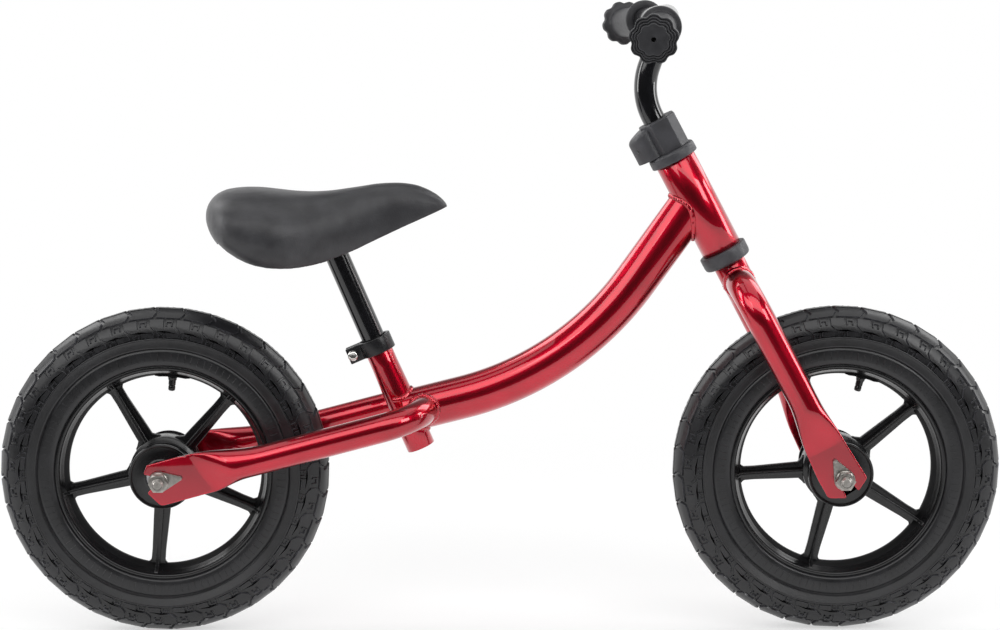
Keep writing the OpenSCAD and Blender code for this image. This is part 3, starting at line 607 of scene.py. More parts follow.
def makeStay(side, name, node):
    run, rise = jointPoint.x - rearAxle.x, jointPoint.z - rearAxle.z + stay["drop"]
    slope = math.degrees(math.atan2(rise, run))
    place = shift(rearAxle.x, side * stay["side"], rearAxle.z - stay["drop"]) @ turn(90 - slope, "Y")
    c, s = polar(1, slope)

    def stayPoint(along, above):
        return along * c - above * s, along * s + above * c - stay["drop"], pressed["arc"]

    start, (high, low) = stay["flatEnd"], stay["edges"]
    outline = stay["above"] + slotArc(stay["slot"], 90) + stay["below"] + [
        stayPoint(start + 2, -low), stayPoint(start + 24, -low + 3.0), stayPoint(start + 6, high - 2.5), stay["top"]]
    plate = shift(rearAxle.x, side * stay["side"], rearAxle.z)
    pressedLeg(name, node, "frame", side, stay, place, math.hypot(run, rise) - stay["bend"],
               stay["side"] - stay["bend"] - mainTube["radius"] * stay["inMain"], plate, outline)
    # weld where the stay meets the main tube's side
    branch = shift(jointPoint.x, 0, jointPoint.z) @ turn(-side * 90, "X")
    seam = roundSeam(branch, stay["radius"] + 0.6, mainFrame, mainTube["radius"] + 0.2, count=96)
    weldBead(name + "Weld", seam, "frame", 2.4)


makeStay(-1, "stayRight", "stay_right")
makeStay(1, "stayLeft", "stay_left")


def makeFrameWelds():
    # main tube to head tube: follow the coped mouth round the head tube
    seam = roundSeam(mainTop @ shift(0, 0, mainTube["headGap"]), mainTube["radius"] + 0.4, steerFrame,
                     headTube["radius"] + 0.4, count=132, flip=-1, reach=9.0,
                     squash=mainTube["mouth"] / mainTube["radius"])
    weldBead("headWeld", seam, "frame", 2.5)
    # seat tube through the main tube: the front half above and below
    branch = Matrix.Translation(meet) @ turn(-bike["seatLean"], "Y")
    half = math.radians(weld["seatHalf"])
    for name, flip in (("seatWeldTop", 1), ("seatWeldUnder", -1)):
        seam = roundSeam(branch, seatTube["footRadius"] + 0.3, mainFrame, mainTube["radius"] + 0.2, count=54,
                         low=-half, high=half, flip=flip, reach=4.0)
        weldBead(name, seam, "frame", 2.4, closed=False)


makeFrameWelds()
print("balance bike: frame welded")


# how much less than its flats each step in to a nut's face is, and the chamfer of its corners
nutFace = {"sides": 48, "steps": (0.3, 1.2), "chamferFrom": 0.2, "chamferSlope": 0.6}


def hexagon(bm, place, acrossFlats, height, bore):
    # A nut round a round hole, its corners dropped below its round faces
    old = set(bm.verts)
    flat = acrossFlats / 2
    corner = flat / math.cos(math.radians(30))
    for vert in bmesh.ops.create_circle(bm, cap_ends=False, segments=nutFace["sides"], radius=corner)["verts"]:
        a = math.atan2(vert.co.y, vert.co.x)
        r = min(corner, flat / math.cos((a % math.radians(60)) - math.radians(30)))
        vert.co.x, vert.co.y = r * math.cos(a), r * math.sin(a)
    bottom = edgesOf(newSince(bm, old))
    made = bmesh.ops.extrude_edge_only(bm, edges=bottom)
    bmesh.ops.translate(bm, vec=(0, 0, height), verts=newVertsOf(made))
    mouths = []
    for ring in (bottom, newEdgesOf(made)):  # both faces close in to the bore
        for r in [flat - less for less in nutFace["steps"]] + [bore]:
            made = bmesh.ops.extrude_edge_only(bm, edges=ring)
            ring = newEdgesOf(made)
            for vert in newVertsOf(made):
                a = math.atan2(vert.co.y, vert.co.x)
                keep = min(r, math.hypot(vert.co.x, vert.co.y))
                vert.co.x, vert.co.y = keep * math.cos(a), keep * math.sin(a)
        mouths += ring
    fresh = newSince(bm, old)
    for vert in fresh:
        over = max(0.0, math.hypot(vert.co.x, vert.co.y) - (flat - nutFace["chamferFrom"])) * nutFace["chamferSlope"]
        vert.co.z += over if vert.co.z < height / 2 else -over
    bmesh.ops.bridge_loops(bm, edges=mouths)
    bmesh.ops.transform(bm, matrix=place, verts=fresh)


def faceAway(x, side, y, z):
    # Local Z points out from the middle plane on that side
    return shift(x, side * y, z) @ turn(-90 * side, "X")


headset = {"lip": 21.5, "bore": 12.8, "pilot": 14.9, "inTube": 6.0, "lowHeight": 12.7, "topHeight": 9.7}


def makeCup(name, node, base, height, up):
    lip, bore, pilot, inTube = headset["lip"], headset["bore"], headset["pilot"], headset["inTube"]
    outline = [(bore, -inTube), (pilot, -inTube), (pilot, 0), (lip - 0.8, 0.05), (lip - 0.2, 0.4), (lip, 1.0),
               (lip, 0.40 * height), (lip - 0.1, 0.72 * height), (lip - 0.5, height - 1.4), (lip - 1.2, height - 0.5),
               (lip - 2.2, height), (bore, height)]
    turnPiece(name, upSteer(base), [(r, z * up) for r, z in outline], "headset", "frame", node, steps=96, smooth=38)


makeCup("headsetCupLower", "headset_lower_cup", bike["headLow"], headset["lowHeight"], -1)
makeCup("headsetCupUpper", "headset_upper_cup", bike["headHigh"], headset["topHeight"], 1)

clamp = {"at": 92.5, "height": 14.0, "inner": 12.05, "outer": 15.2, "ear": 26.5, "earThick": 5.0, "gap": 3.0,
         "boltAt": 22.0, "steps": 40, "bevel": 0.7, "nutFlats": 10, "nutHeight": 5, "nutBore": 3.0}


def makeSeatClamp():
    # A pressed band with two ears, swept round the tube
    bm = bmesh.new()
    gap, thick, steps = clamp["gap"] / 2, clamp["earThick"], clamp["steps"]

    def bandLine(radius, level, start):
        # one ear, the way round the tube, and the other ear
        foot = -radius * math.cos(math.pi - start) - 1.5
        arc = [start - start * 2 * k / steps for k in range(steps + 1)]
        line = [(-clamp["ear"], level), (foot, level)] + [(radius * math.cos(a), radius * math.sin(a)) for a in arc] \
            + [(foot, -level), (-clamp["ear"], -level)]
        return [bm.verts.new((x, y, 0)) for x, y in line]

    inner = bandLine(clamp["inner"], gap, math.pi - math.asin((gap + 0.1) / clamp["inner"]))
    outer = bandLine(clamp["outer"], gap + thick, math.pi - math.asin((gap + thick) / clamp["outer"]))
    faces = [bm.faces.new(quad) for quad in zip(inner, outer, outer[1:], inner[1:])]
    thicken(bm, faces, clamp["height"])
    bmesh.ops.recalc_face_normals(bm, faces=bm.faces)
    soften(bm, sharpOf(bm.edges, 50), clamp["bevel"], segments=3)
    bmesh.ops.transform(bm, matrix=seatFrame @ shift(0, 0, clamp["at"]), verts=bm.verts)
    keepPiece("seatClamp", bm, "satin", "frame", ["seat_clamp"], smooth=40)


def makeClampBolt():
    # Round-headed socket screw on the right, nut on the left
    centre = upSeat(clamp["at"] + clamp["height"] / 2, -clamp["boltAt"])
    right, left = (faceAway(centre.x, side, clamp["gap"] / 2 + clamp["earThick"], centre.z) for side in (-1, 1))
    outline = [(0, -14), (2.95, -14), (2.95, 0), (4.3, 0), (4.7, 0.5), (4.7, 1.6), (4.5, 2.7), (3.9, 3.5),
               (3.1, 3.9), (2.7, 4.0), (2.5, 3.7), (2.5, 1.6), (0, 1.2)]
    turnPiece("seatClampBolt", right, outline, "bolt", "frame", "seat_clamp_bolt", steps=36, smooth=35, closed=False)
    bm = bmesh.new()
    hexagon(bm, left, clamp["nutFlats"], clamp["nutHeight"], clamp["nutBore"])
    keepPiece("seatClampNut", bm, "zinc", "frame", ["seat_clamp_nut"], smooth=30)


makeSeatClamp()
makeClampBolt()

axleKit = {"radius": 4.9, "length": 141.0, "tip": 2.5, "threaded": 22.0, "pitch": 1.25, "depth": 0.55,
           "plate": 2.5, "nutFlats": 15.0, "nutHeight": 8.0, "flange": 1.9,
           "washerRadius": 9.2, "washerTip": 1.9, "washerThick": 2.0, "hookAt": 18.6, "rearLean": 10.5}


def makeAxle(name, node, centre, body):
    # Threaded rod: rolled crests near both ends, tips turned down
    r, half, pitch, depth = axleKit["radius"], axleKit["length"] / 2, axleKit["pitch"], axleKit["depth"]
    outline = [(0, -half), (r - 1.9, -half), (r - 0.9, -half + 0.8), (r - 0.5, -half + axleKit["tip"] * 0.8)]
    at = -half + axleKit["tip"]
    while at < -half + axleKit["threaded"]:
        outline += [(r, at), (r, at + pitch * 0.35), (r - depth, at + pitch * 0.7), (r - depth, at + pitch * 0.85)]
        at += pitch
    outline += [(r, at)]
    outline += [(radius, -along) for radius, along in reversed(outline)]
    turnPiece(name, Matrix.Translation(centre) @ turn(90, "X"), outline, "zinc", body, node, steps=32, smooth=35,
              closed=False, crisp=True)


def makeNuts(name, node, centre, side, body):
    # Flanged nuts: a round foot under a hexagon
    bm = bmesh.new()
    r, flats, foot = axleKit["radius"], axleKit["nutFlats"], axleKit["flange"]
    for s in (-1, 1):
        face = faceAway(centre.x, s, side + axleKit["plate"] + axleKit["washerThick"], centre.z)
        lathe(bm, face, [(r, 0.0), (8.3, 0.0), (8.5, 0.5), (8.3, 1.3), (flats / 2 - 0.2, foot), (r, foot)],
              steps=40, closed=True)
        hexagon(bm, face @ shift(0, 0, 1.2), flats, axleKit["nutHeight"] - 1.2, r)
    keepPiece(name, bm, "zinc", body, [node], smooth=30)


def makeWashers(name, node, centre, side, lean, body):
    # Stamped teardrop washers; the bent tip drops into the small hole beyond the slot
    big, tip, reach, thick = (axleKit[key] for key in ("washerRadius", "washerTip", "hookAt", "washerThick"))
    wing = math.degrees(math.acos((big - tip) / reach))
    edge = [polar(big, wing + (360 - 2 * wing) * k / 28) for k in range(29)]
    edge += [(reach + x, y) for x, y in [polar(tip, -wing + 2 * wing * k / 8) for k in range(9)]]
    leant = Matrix.Translation(centre) @ turn(-lean, "Y")
    bm = bmesh.new()
    for s in (-1, 1):
        old = set(bm.verts)
        outer = [bm.verts.new((x, y, 0)) for x, y in edge]
        outerEdges = [bm.edges.new(pair) for pair in zip(outer, outer[1:] + outer[:1])]
        hole = bmesh.ops.create_circle(bm, cap_ends=False, segments=38, radius=axleKit["radius"] + 0.1)["verts"]
        thicken(bm, bmesh.ops.bridge_loops(bm, edges=outerEdges + edgesOf(hole))["faces"], thick)
        soften(bm, sharpOf(edgesOf(newSince(bm, old)), 60), 0.35, segments=2)
        # outward face, tip along the wanted direction in side view
        bmesh.ops.transform(bm, matrix=leant @ faceAway(0, s, side + axleKit["plate"], 0), verts=newSince(bm, old))
        lathe(bm, leant @ faceAway(reach, s, side - 1.2, 0),
              [(0, 0), (1.7, 0), (1.95, 0.4), (1.95, 5.2), (1.5, 5.9), (0, 6.0)], steps=16)
    keepPiece(name, bm, "zinc", body, [node], smooth=35, crisp=True)


makeAxle("rearAxle", "rear_axle", rearAxle, "frame")
makeNuts("rearAxleNuts", "rear_axle_nuts", rearAxle, stay["side"], "frame")
makeWashers("rearHookWashers", "rear_hook_washers", rearAxle, stay["side"], axleKit["rearLean"], "frame")
print("balance bike: rear hardware fitted")

fork = {
    "side": 52.7, "radius": 12.7, "bend": 34.0, "turnAt": 155.0, "edges": (19.3, 15.5), "inCrown": 0.7,
    "flatEnd": 30.0, "roundAt": 72.0, "drawnTo": 84.0, "thick": 5.0, "late": 0.0, "slot": 5.0,
    "crown": 14.25, "crownBore": 12.75, "crownLow": 175.0, "crownHigh": 208.0, "crownLip": 0.6,
    "behind": [(-20.5, 9.7, 3.0), (-20, -6.7, 2.0), (-18.4, -9, 1.8), (-5.6, -15.8, 1.5), (-5.0, -10, 1.0)],
    "ahead": [(5.0, -10, 1.0), (6.3, -14.8, 1.5), (18.2, -8.2, 2.0), (16.2, 20, 4.0)],
}


def makeCrown():
    outline = sleeve(fork["crownBore"], fork["crown"], fork["crownLow"], fork["crownHigh"], fork["crownLip"])
    turnPiece("forkCrown", steerFrame, outline, "red", "fork", "fork_crown", steps=72, smooth=45)


def makeForkLeg(side, name, node):
    place = steerFrame @ shift(0, side * fork["side"], 0)
    start, (back, front), arc = fork["flatEnd"], fork["edges"], pressed["arc"]
    outline = [(-back + 1.6, start + 8, arc), (-back, start + 1, arc)] + fork["behind"] + slotArc(fork["slot"], 180) \
        + fork["ahead"] + [(front, start + 1, arc), (front - 1.2, start + 8, arc)]
    pressedLeg(name, node, "fork", side, fork, place, fork["turnAt"],
               fork["side"] - fork["bend"] - fork["crown"] * fork["inCrown"], place, outline)
    branch = upSteer(fork["turnAt"] + fork["bend"]) @ turn(-side * 90, "X")
    seam = roundSeam(branch, fork["radius"] + 0.4, upSteer(0), fork["crown"] + 0.2, count=84, reach=4.0)
    weldBead(name + "Weld", seam, "fork", 2.2)


makeCrown()
makeForkLeg(-1, "forkLegRight", "fork_leg_right")
makeForkLeg(1, "forkLegLeft", "fork_leg_left")
makeAxle("frontAxle", "front_axle", frontAxle, "fork")
makeNuts("frontAxleNuts", "front_axle_nuts", frontAxle, fork["side"], "fork")
makeWashers("frontHookWashers", "front_hook_washers", frontAxle, fork["side"], 90 + bike["headLean"], "fork")
print("balance bike: fork made")

# Half outlines of (x, y), mirrored: the cover round the collar, and the lobe over the collar's bolt
cover = {
    "at": 320.0, "height": 29.0, "softTop": 1.3, "softSide": 0.45,
    "half": [(17.8, -9), (10, -17.0), (-6, -17.0), (-9.6, -12.2), (-15.1, -9)],
    "lobe": [(-7.5, 10.4), (-9.7, 11.8), (-11.6, 13.0), (-14.0, 13.8), (-16.8, 13.9), (-19.8, 13.1), (-22.6, 11.6),
             (-25.2, 9.4), (-27.4, 6.8), (-29.1, 3.8), (-30.0, 1.2)],
    "lobeDrop": 0.5, "lobeSlope": 0.30, "slopeFrom": -9.0, "lobeRound": 5.0,
}


def mirroredOutline(half):
    return half + [(x, -y) for x, y in reversed(half)]


def topRim(bm, top):
    return [e for e in bm.edges if e.verts[0] in top and e.verts[1] in top]


def makeCover():
    # Moulded cover: a faceted front, and a sloping, round-topped lobe at the back
    bm = bmesh.new()
    top = raised(bm, mirroredOutline(cover["half"]), cover["height"])
    bmesh.ops.recalc_face_normals(bm, faces=bm.faces)
    soften(bm, topRim(bm, top), cover["softTop"], segments=4)
    bm.normal_update()
    upright = [e for e in bm.edges if abs((e.verts[0].co - e.verts[1].co).normalized().z) > 0.98]
    soften(bm, sharpOf(upright, 12), cover["softSide"], segments=2)
    old = set(bm.verts)
    top = raised(bm, mirroredOutline(cover["lobe"]), cover["height"])
    for vert in top:
        vert.co.z -= cover["lobeDrop"] + cover["lobeSlope"] * max(0.0, cover["slopeFrom"] - vert.co.x)
    bmesh.ops.recalc_face_normals(bm, faces=list({f for v in newSince(bm, old) for f in v.link_faces}))
    soften(bm, topRim(bm, top), cover["lobeRound"], segments=6, clamp_overlap=True)
    bmesh.ops.transform(bm, matrix=upSteer(cover["at"]), verts=bm.verts)
    keepPiece("stemCollarCover", bm, "headset", "fork", ["stem_collar_cover"], smooth=26, crisp=True)


makeCover()

stem = {"radius": 10.0, "hold": 110.0, "bend": 55.0, "turn": 47.0, "top": 45.0, "shorter": 4.0, "weldFrom": 24.0}


def makeStem():
    start = upSteer(bike["stemBendAt"])
    places = alongBend(start, (-stem["hold"], 0), stem["bend"], stem["turn"], stem["top"] - stem["shorter"],
                       step=10.0, finer=1.6)
    stations = [(place, stem["radius"], stem["radius"]) for place in places]
    sweepPiece("stem", stations, "gloss", "handlebar", "stem", segments=64, smooth=50)
    return places[-1] @ shift(0, 0, stem["shorter"])


stemEnd = makeStem()
barCentre = Matrix.Translation(stemEnd.translation)

crossbar = {"radius": 10.8, "sweep": 7.7, "drop": 3.6, "half": 192.1, "inGrip": 3.6, "steps": 90, "blend": 10.0}


def barPlace(side):
    return barCentre @ turn(side * crossbar["sweep"], "Z") @ turn(-side * (90 + crossbar["drop"]), "X")


def makeCrossbar():
    # Two straight halves, swept back and down, that meet in a short bend
    right, left = barPlace(-1), barPlace(1)
    reach, steps = crossbar["half"] - crossbar["inGrip"], crossbar["steps"]
    leftTurn, rightTurn = left.to_quaternion(), (right @ turn(180, "X")).to_quaternion()
    stations = []
    for k in range(steps + 1):
        along = -reach + 2 * reach * k / steps
        place = rightTurn.slerp(leftTurn, eased(along / crossbar["blend"] + 0.5)).to_matrix().to_4x4()
        place.translation = (left if along > 0 else right) @ Vector((0, 0, abs(along)))
        stations.append((place, crossbar["radius"], crossbar["radius"]))
    sweepPiece("crossbar", stations, "gloss", "handlebar", "crossbar", segments=64, smooth=50)


def makeBarWeld():
    # Fillet of the brazed joint, painted over in black
    points, normals = roundSeam(stemEnd @ shift(0, 0, -stem["weldFrom"]), stem["radius"] + 0.3,
                                barCentre @ turn(90, "X"), crossbar["radius"] + 0.1, count=72, reach=2.0)
    # keep the seam on the stem's side of the bar
    back = (stemEnd.to_3x3() @ Vector((0, 0, 1))).normalized()
    shifted = [p - back * (2 * max(0.0, (p - stemEnd.translation).dot(back))) for p in points]
    weldBead("barWeld", (shifted, normals), "handlebar", 2.1, finish="gloss")


makeCrossbar()
makeBarWeld()

# Profiles are rows of (along, radius, lobe depth): along from the inner mouth, or back from the outer end
grip = {
    "length": 104.0, "radius": 13.4, "flange": 17.7, "bumper": 20.3, "lobes": 9, "turned": 0.17, "bore": 10.9,
    "boreDeep": 4.6, "steps": 3, "stepHigh": 1.35, "stepWide": 2.3, "wave": 2.0, "waveFade": 0.86, "valley": 1.7,
    "hole": 2.0, "sides": 144,
    # along, and radius less that of the flange
    "flangeRows": [(0, -1.4), (0.4, -0.4), (1.4, 0), (3.6, 0), (4.6, -0.4), (5.0, -1.4)],
    # along, and radius less that of the grip; then the same back from the end
    "bodyRows": [(5.05, 1.2), (5.5, 0.3), (6.6, 0), (30, -0.25), (55, -0.35), (78, -0.1)],
    "neckRows": [(13.2, 0), (12.0, 0.5), (11.1, 1.8)],
    # back from the end, radius less that of the bumper, lobe depth
    "bumperRows": [(11.0, -2.2, 1.6), (10.6, -0.7, 1.9), (9.4, 0, 2.0), (6.2, 0, 2.0)],
    # above the step, radius less the step's, part of the lobe depth: a wall, a rounded lip, a terrace, a groove
    "stepRows": [(-1.0, 0, 1), (-0.35, -0.12, 1), (-0.05, -0.5, 1), (0, -0.8, 1), (-0.15, -1.35, 0.97),
                 (-0.7, -1.6, 0.95), (-0.75, -2.15, 0.92), (-0.3, -2.3, 0.9)],
    # back from the end, radius less the last step's, part of the lobe depth
    "faceRows": [(0.5, 0, 1), (0.12, -0.35, 1), (0, -0.9, 0.9), (0.05, -1.5, 0.5), (0.1, -3.0, 0)],
}


def lobed(angle, radius, depth):
    # Round lobes with narrow valleys between them
    return radius - depth * (0.5 + 0.5 * math.cos(grip["lobes"] * angle)) ** grip["valley"]


def gripRows():
    start, end, hole = crossbar["half"] - grip["length"], crossbar["half"], grip["hole"]
    rows = [(end - grip["boreDeep"], grip["bore"], 0), (start + 0.4, grip["bore"], 0), (start, grip["bore"] + 1.1, 0)]
    rows += [(start + along, grip["flange"] + less, 0) for along, less in grip["flangeRows"]]
    rows += [(start + along, grip["radius"] + less, 0) for along, less in grip["bodyRows"]]
    rows += [(end - back, grip["radius"] + less, 0) for back, less in grip["neckRows"]]
    rows += [(end - back, grip["bumper"] + less, depth) for back, less, depth in grip["bumperRows"]]
    level, outer, wave = end - grip["steps"] * grip["stepHigh"], grip["bumper"], grip["wave"]
    for step in range(grip["steps"]):
        rows += [(level + above, outer + less, wave * part) for above, less, part in grip["stepRows"]]
        level, outer, wave = level + grip["stepHigh"], outer - grip["stepWide"], wave * grip["waveFade"]
    rows += [(end - back, outer + less, wave * part) for back, less, part in grip["faceRows"]]
    return rows + [(end - 0.1, 6.5, 0), (end - 0.1, hole + 0.4, 0), (end - 0.5, hole, 0), (end - 3.6, hole, 0)]


def makeGrip(side, name, node):
    # From the bore's end out at the inner mouth, over the grip and its bumper, and in at the vent hole
    rows = gripRows()
    place = barPlace(side)

    def shape(index, x, y):
        size = lobed(math.atan2(y, x) + grip["turned"], *rows[index][1:])
        return x * size, y * size

    stations = [(place @ shift(0, 0, row[0]), 1.0, 1.0) for row in rows]
    sweepPiece(name, stations, "grip", "handlebar", node, segments=grip["sides"], smooth=38, shape=shape)


makeGrip(-1, "gripRight", "grip_right")
makeGrip(1, "gripLeft", "grip_left")
print("balance bike: handlebar made")

post = {"radius": 10.4, "wall": 1.8, "lip": 0.4, "length": 173.0, "saddleAt": 179.5, "inSaddle": 17.0}


def makePost():
    low, high, r = post["saddleAt"] - post["length"], post["saddleAt"] + post["inSaddle"], post["radius"]
    bore, lip = r - post["wall"], post["lip"]
    outline = [(bore, low), (r - lip, low), (r, low + lip), (r, 60), (r, 120), (r, high), (bore, high)]
    turnPiece("seatPost", seatFrame, outline, "gloss", "seat", "seat_post", steps=128, smooth=50)


makePost()

# Side view of the saddle about the post's reference point: (x, underside, top), and half its width there
saddle = {
    "rows": [(-115.6, 36.5, 47.0, 15), (-113.0, 28.0, 54.2, 32), (-107.0, 18.6, 60.4, 47.5), (-98.0, 9.6, 63.9, 59),
             (-86.0, 1.6, 65.2, 66), (-72.0, -6.0, 64.6, 69.4), (-56.0, -11.0, 62.8, 68.6), (-40.0, -13.5, 61.0, 62.5),
             (-24.0, -13.0, 60.4, 53.0), (-8.0, -10.0, 61.4, 43.0), (8.0, -4.0, 63.8, 35.0), (24.0, 3.5, 66.4, 29.4),
             (40.0, 11.0, 69.0, 26.0), (54.0, 18.0, 70.0, 23.0), (66.0, 24.5, 68.8, 19.8), (77.0, 30.6, 65.2, 16.2),
             (86.0, 35.8, 60.2, 12.4), (92.5, 40.2, 54.8, 8.2), (96.0, 43.6, 51.0, 4.5)],
    # where the flat underside lies: (x, height)
    "under": [(-104, 21.5), (-95, 14.0), (-86, 8.4), (-78, 5.0), (-70, 2.7), (-60, 1.0), (-50, 0.4), (-41, 0.3),
              (-33, 0.8), (-22, 2.2), (-11.4, 4.3), (0, 8.4), (8, 11.0), (17, 14.6), (35, 23.0), (57, 33.0),
              (79.7, 42.6), (96, 49.5)],
    # the space for the post's plate and screws: round corners of (x, y, radius) and its heights
    "pocket": [(-33, 15, 9), (-33, -15, 9), (14, 12, 8), (14, -12, 8)], "pocketHeights": (-60, 21.4),
    # what makes a round section a pad's, (across, up) over and under its middle: below 1 is squarer
    "overPowers": (0.80, 0.92), "underPowers": (0.74, 0.80),
    "shrink": 0.8, "voxel": 4.0, "cap": 1.6, "frames": 20, "smooth": 3, "crease": 46,
    "quality": 6, "mass": 0.3, "pressure": 4.0,
    "stiffness": {"tension": 40, "compression": 40, "shear": 20, "bending": 6},
}
saddlePoint = upSeat(post["saddleAt"])


def saddleRing(index, x, y):
    # Flatter crown, full shoulders and a tucked-in underside
    across, up = saddle["overPowers"] if y > 0 else saddle["underPowers"]
    return math.copysign(abs(x) ** across, x), math.copysign(abs(y) ** up, y)


def makeSaddle():
    shrink = saddle["shrink"]
    forward = Matrix(((0, 0, 1, 0), (1, 0, 0, 0), (0, 1, 0, 0), (0, 0, 0, 1)))
    stations = []
    for x, low, high, wide in saddle["rows"]:
        place = Matrix.Translation(saddlePoint + Vector((x, 0, (low + high) / 2))) @ forward
        stations.append((place, max(2.0, wide - shrink), max(2.0, (high - low) / 2 - shrink)))
    return sweepPiece("saddlePad", stations, "saddle", "seat", "saddle_pad", segments=56, smooth=180, shape=saddleRing)


def makePocketTool():
    bm = bmesh.new()
    for x, y, r in saddle["pocket"]:
        for level in saddle["pocketHeights"]:
            bmesh.ops.create_circle(bm, cap_ends=False, segments=32, radius=r,
                                    matrix=Matrix.Translation(saddlePoint + Vector((x, y, level))))
    hull = bmesh.ops.convex_hull(bm, input=bm.verts)
    bmesh.ops.delete(bm, geom=hull["geom_interior"], context="VERTS")
    bmesh.ops.scale(bm, vec=(mm, mm, mm), verts=bm.verts)
    bmesh.ops.recalc_face_normals(bm, faces=bm.faces)
    return meshObject("pocketTool", bm)


def applyModifiers(piece):
    # Bake what the modifiers give into the mesh itself
    graph = bpy.context.evaluated_depsgraph_get()
    made = bpy.data.meshes.new_from_object(piece.evaluated_get(graph), depsgraph=graph)
    piece.modifiers.clear()
    made.name = piece.data.name + "Made"
    piece.data = made
    if not made.materials:
        made.materials.append(finishes["saddle"])


def swell(piece):
    # Cloth under pressure, with every point held near where it began
    scene = bpy.context.scene
    rest = [v.co.copy() for v in piece.data.vertices]
    cloth = piece.modifiers.new("swell", "CLOTH")
    settings = cloth.settings
    settings.quality, settings.mass = saddle["quality"], saddle["mass"]
    for kind, stiffness in saddle["stiffness"].items():
        setattr(settings, kind + "_stiffness", stiffness)
    settings.use_pressure, settings.uniform_pressure_force = True, saddle["pressure"]
    settings.effector_weights.gravity = 0
    cloth.collision_settings.use_self_collision = False
    cloth.point_cache.frame_start, cloth.point_cache.frame_end = 1, saddle["frames"]
    for step in range(1, saddle["frames"] + 1):
        scene.frame_set(step)
    applyModifiers(piece)
    scene.frame_set(1)
    cap = saddle["cap"] * mm
    for vert, was in zip(piece.data.vertices, rest):
        moved = vert.co - was
        if moved.length > cap:
            vert.co = was + moved.normalized() * cap


def trimUnder(piece):
    # The pad is moulded on a stiff shell: its underside is plain and meets the flanks at a crisp edge
    line = saddle["under"]
    for vert in piece.data.vertices:
        local = vert.co / mm - saddlePoint
        if local.x < line[0][0]:
            continue
        k = max(i for i in range(len(line) - 1) if line[i][0] <= local.x)
        (x0, z0), (x1, z1) = line[k], line[k + 1]
        level = z0 + (z1 - z0) * (local.x - x0) / (x1 - x0)
        if local.z < level:
            vert.co.z = (saddlePoint.z + level) * mm


def puffUp(piece):
    # Foam under a tight skin: cut the pocket, remesh, swell, smooth, and trim the underside
    tool = makePocketTool()
    pocket = piece.modifiers.new("pocket", "BOOLEAN")
    pocket.operation, pocket.object, pocket.solver = "DIFFERENCE", tool, "EXACT"
    skin = piece.modifiers.new("skin", "REMESH")
    skin.mode, skin.voxel_size, skin.use_smooth_shade = "VOXEL", saddle["voxel"] * mm, True
    applyModifiers(piece)
    bpy.data.objects.remove(tool)
    swell(piece)
    bm = bmesh.new()
    bm.from_mesh(piece.data)
    for step in range(saddle["smooth"]):
        bmesh.ops.smooth_vert(bm, verts=bm.verts, factor=0.5, use_axis_x=True, use_axis_y=True, use_axis_z=True)
    bmesh.ops.recalc_face_normals(bm, faces=bm.faces)
    bm.to_mesh(piece.data)
    bm.free()
    finer = piece.modifiers.new("finer", "SUBSURF")
    finer.levels = finer.render_levels = 1
    applyModifiers(piece)
    trimUnder(piece)
    shadeSmooth(piece.data, saddle["crease"])


saddlePad = makeSaddle()
puffUp(saddlePad)
print("balance bike: saddle padded,", len(saddlePad.data.polygons), "faces")

# Blocks of one pitch of the tread are outlines of (pitch, along), each mirrored to the other side
tyre = {
    "sectionHigh": 25.0, "sectionWide": 22.5, "sectionAt": 120.0, "edge": 37.6, "sides": 180,
    # the last entry on the next line: how far from the crown the blocks' edges start to carry a painted highlight
    "pitches": 36, "depth": 1.7, "sunk": 0.5, "patternAt": 132.0, "cut": 5.5, "bevel": 0.6, "edgeHighlightFrom": 6,
    "blocks": {
        "shoulder": [(0.27, 36.8), (0.27, 32.3), (0.48, 27.5), (0.88, 27.5), (0.88, 19.6), (1.42, 19.6),
                     (1.42, 27.0), (1.20, 31.3), (0.80, 31.3), (0.80, 36.8)],
        "stapleLow": [(0.845, 37.4), (0.845, 32.0), (1.155, 32.0), (1.155, 37.4), (1.07, 37.4), (1.07, 34.2),
                      (0.93, 34.2), (0.93, 37.4)],
        "stapleHigh": [(0.53, 26.6), (0.53, 20.6), (0.83, 20.6), (0.83, 26.6), (0.745, 26.6), (0.745, 23.2),
                       (0.615, 23.2), (0.615, 26.6)],
        "flank": [(0.30, 18.5), (0.15, 12.0), (0.30, 4.7), (1.20, 4.7), (1.05, 12.0), (1.20, 18.5)],
    },
    "crownBlock": [(0.0, 4.1), (0.12, 0.0), (0.0, -4.1), (0.88, -4.1), (1.0, 0.0), (0.88, 4.1)],
    # the sidewall below the tread, its turned lines, and the inner band down to the bead: (radius, side)
    "wall": [(120.6, 22.0), (120.2, 22.7), (119.6, 23.0)],
    "lines": {"from": 118.9, "to": 112.0, "pitch": 0.9, "wide": 0.35, "crest": 22.95, "groove": 22.78,
              "hollow": 0.010, "hollowFrom": 119},
    "band": [(111.6, 22.2), (110.9, 21.3), (110.2, 20.6), (109.6, 20.9), (108.9, 21.35), (107.5, 21.5), (101, 21.4),
             (97.2, 21.0), (95.9, 20.2), (95.3, 19.2), (95.2, 17.2), (93.6, 15.5)],
    "ribs": 110, "ribSize": (7.5, 0.75, 0.7), "ribAt": (103.8, 21.35),
}


def sectionAngle(along):
    # The section is so nearly round that its arc length is its mean radius times the angle
    return along / ((tyre["sectionWide"] + tyre["sectionHigh"]) / 2)


def sectionPoint(along, sink):
    # Radius and side of a place round the section, along in millimetres from the crown
    a = sectionAngle(along)
    return tyre["sectionAt"] + (tyre["sectionHigh"] - sink) * math.cos(a), (tyre["sectionWide"] - sink) * math.sin(a)


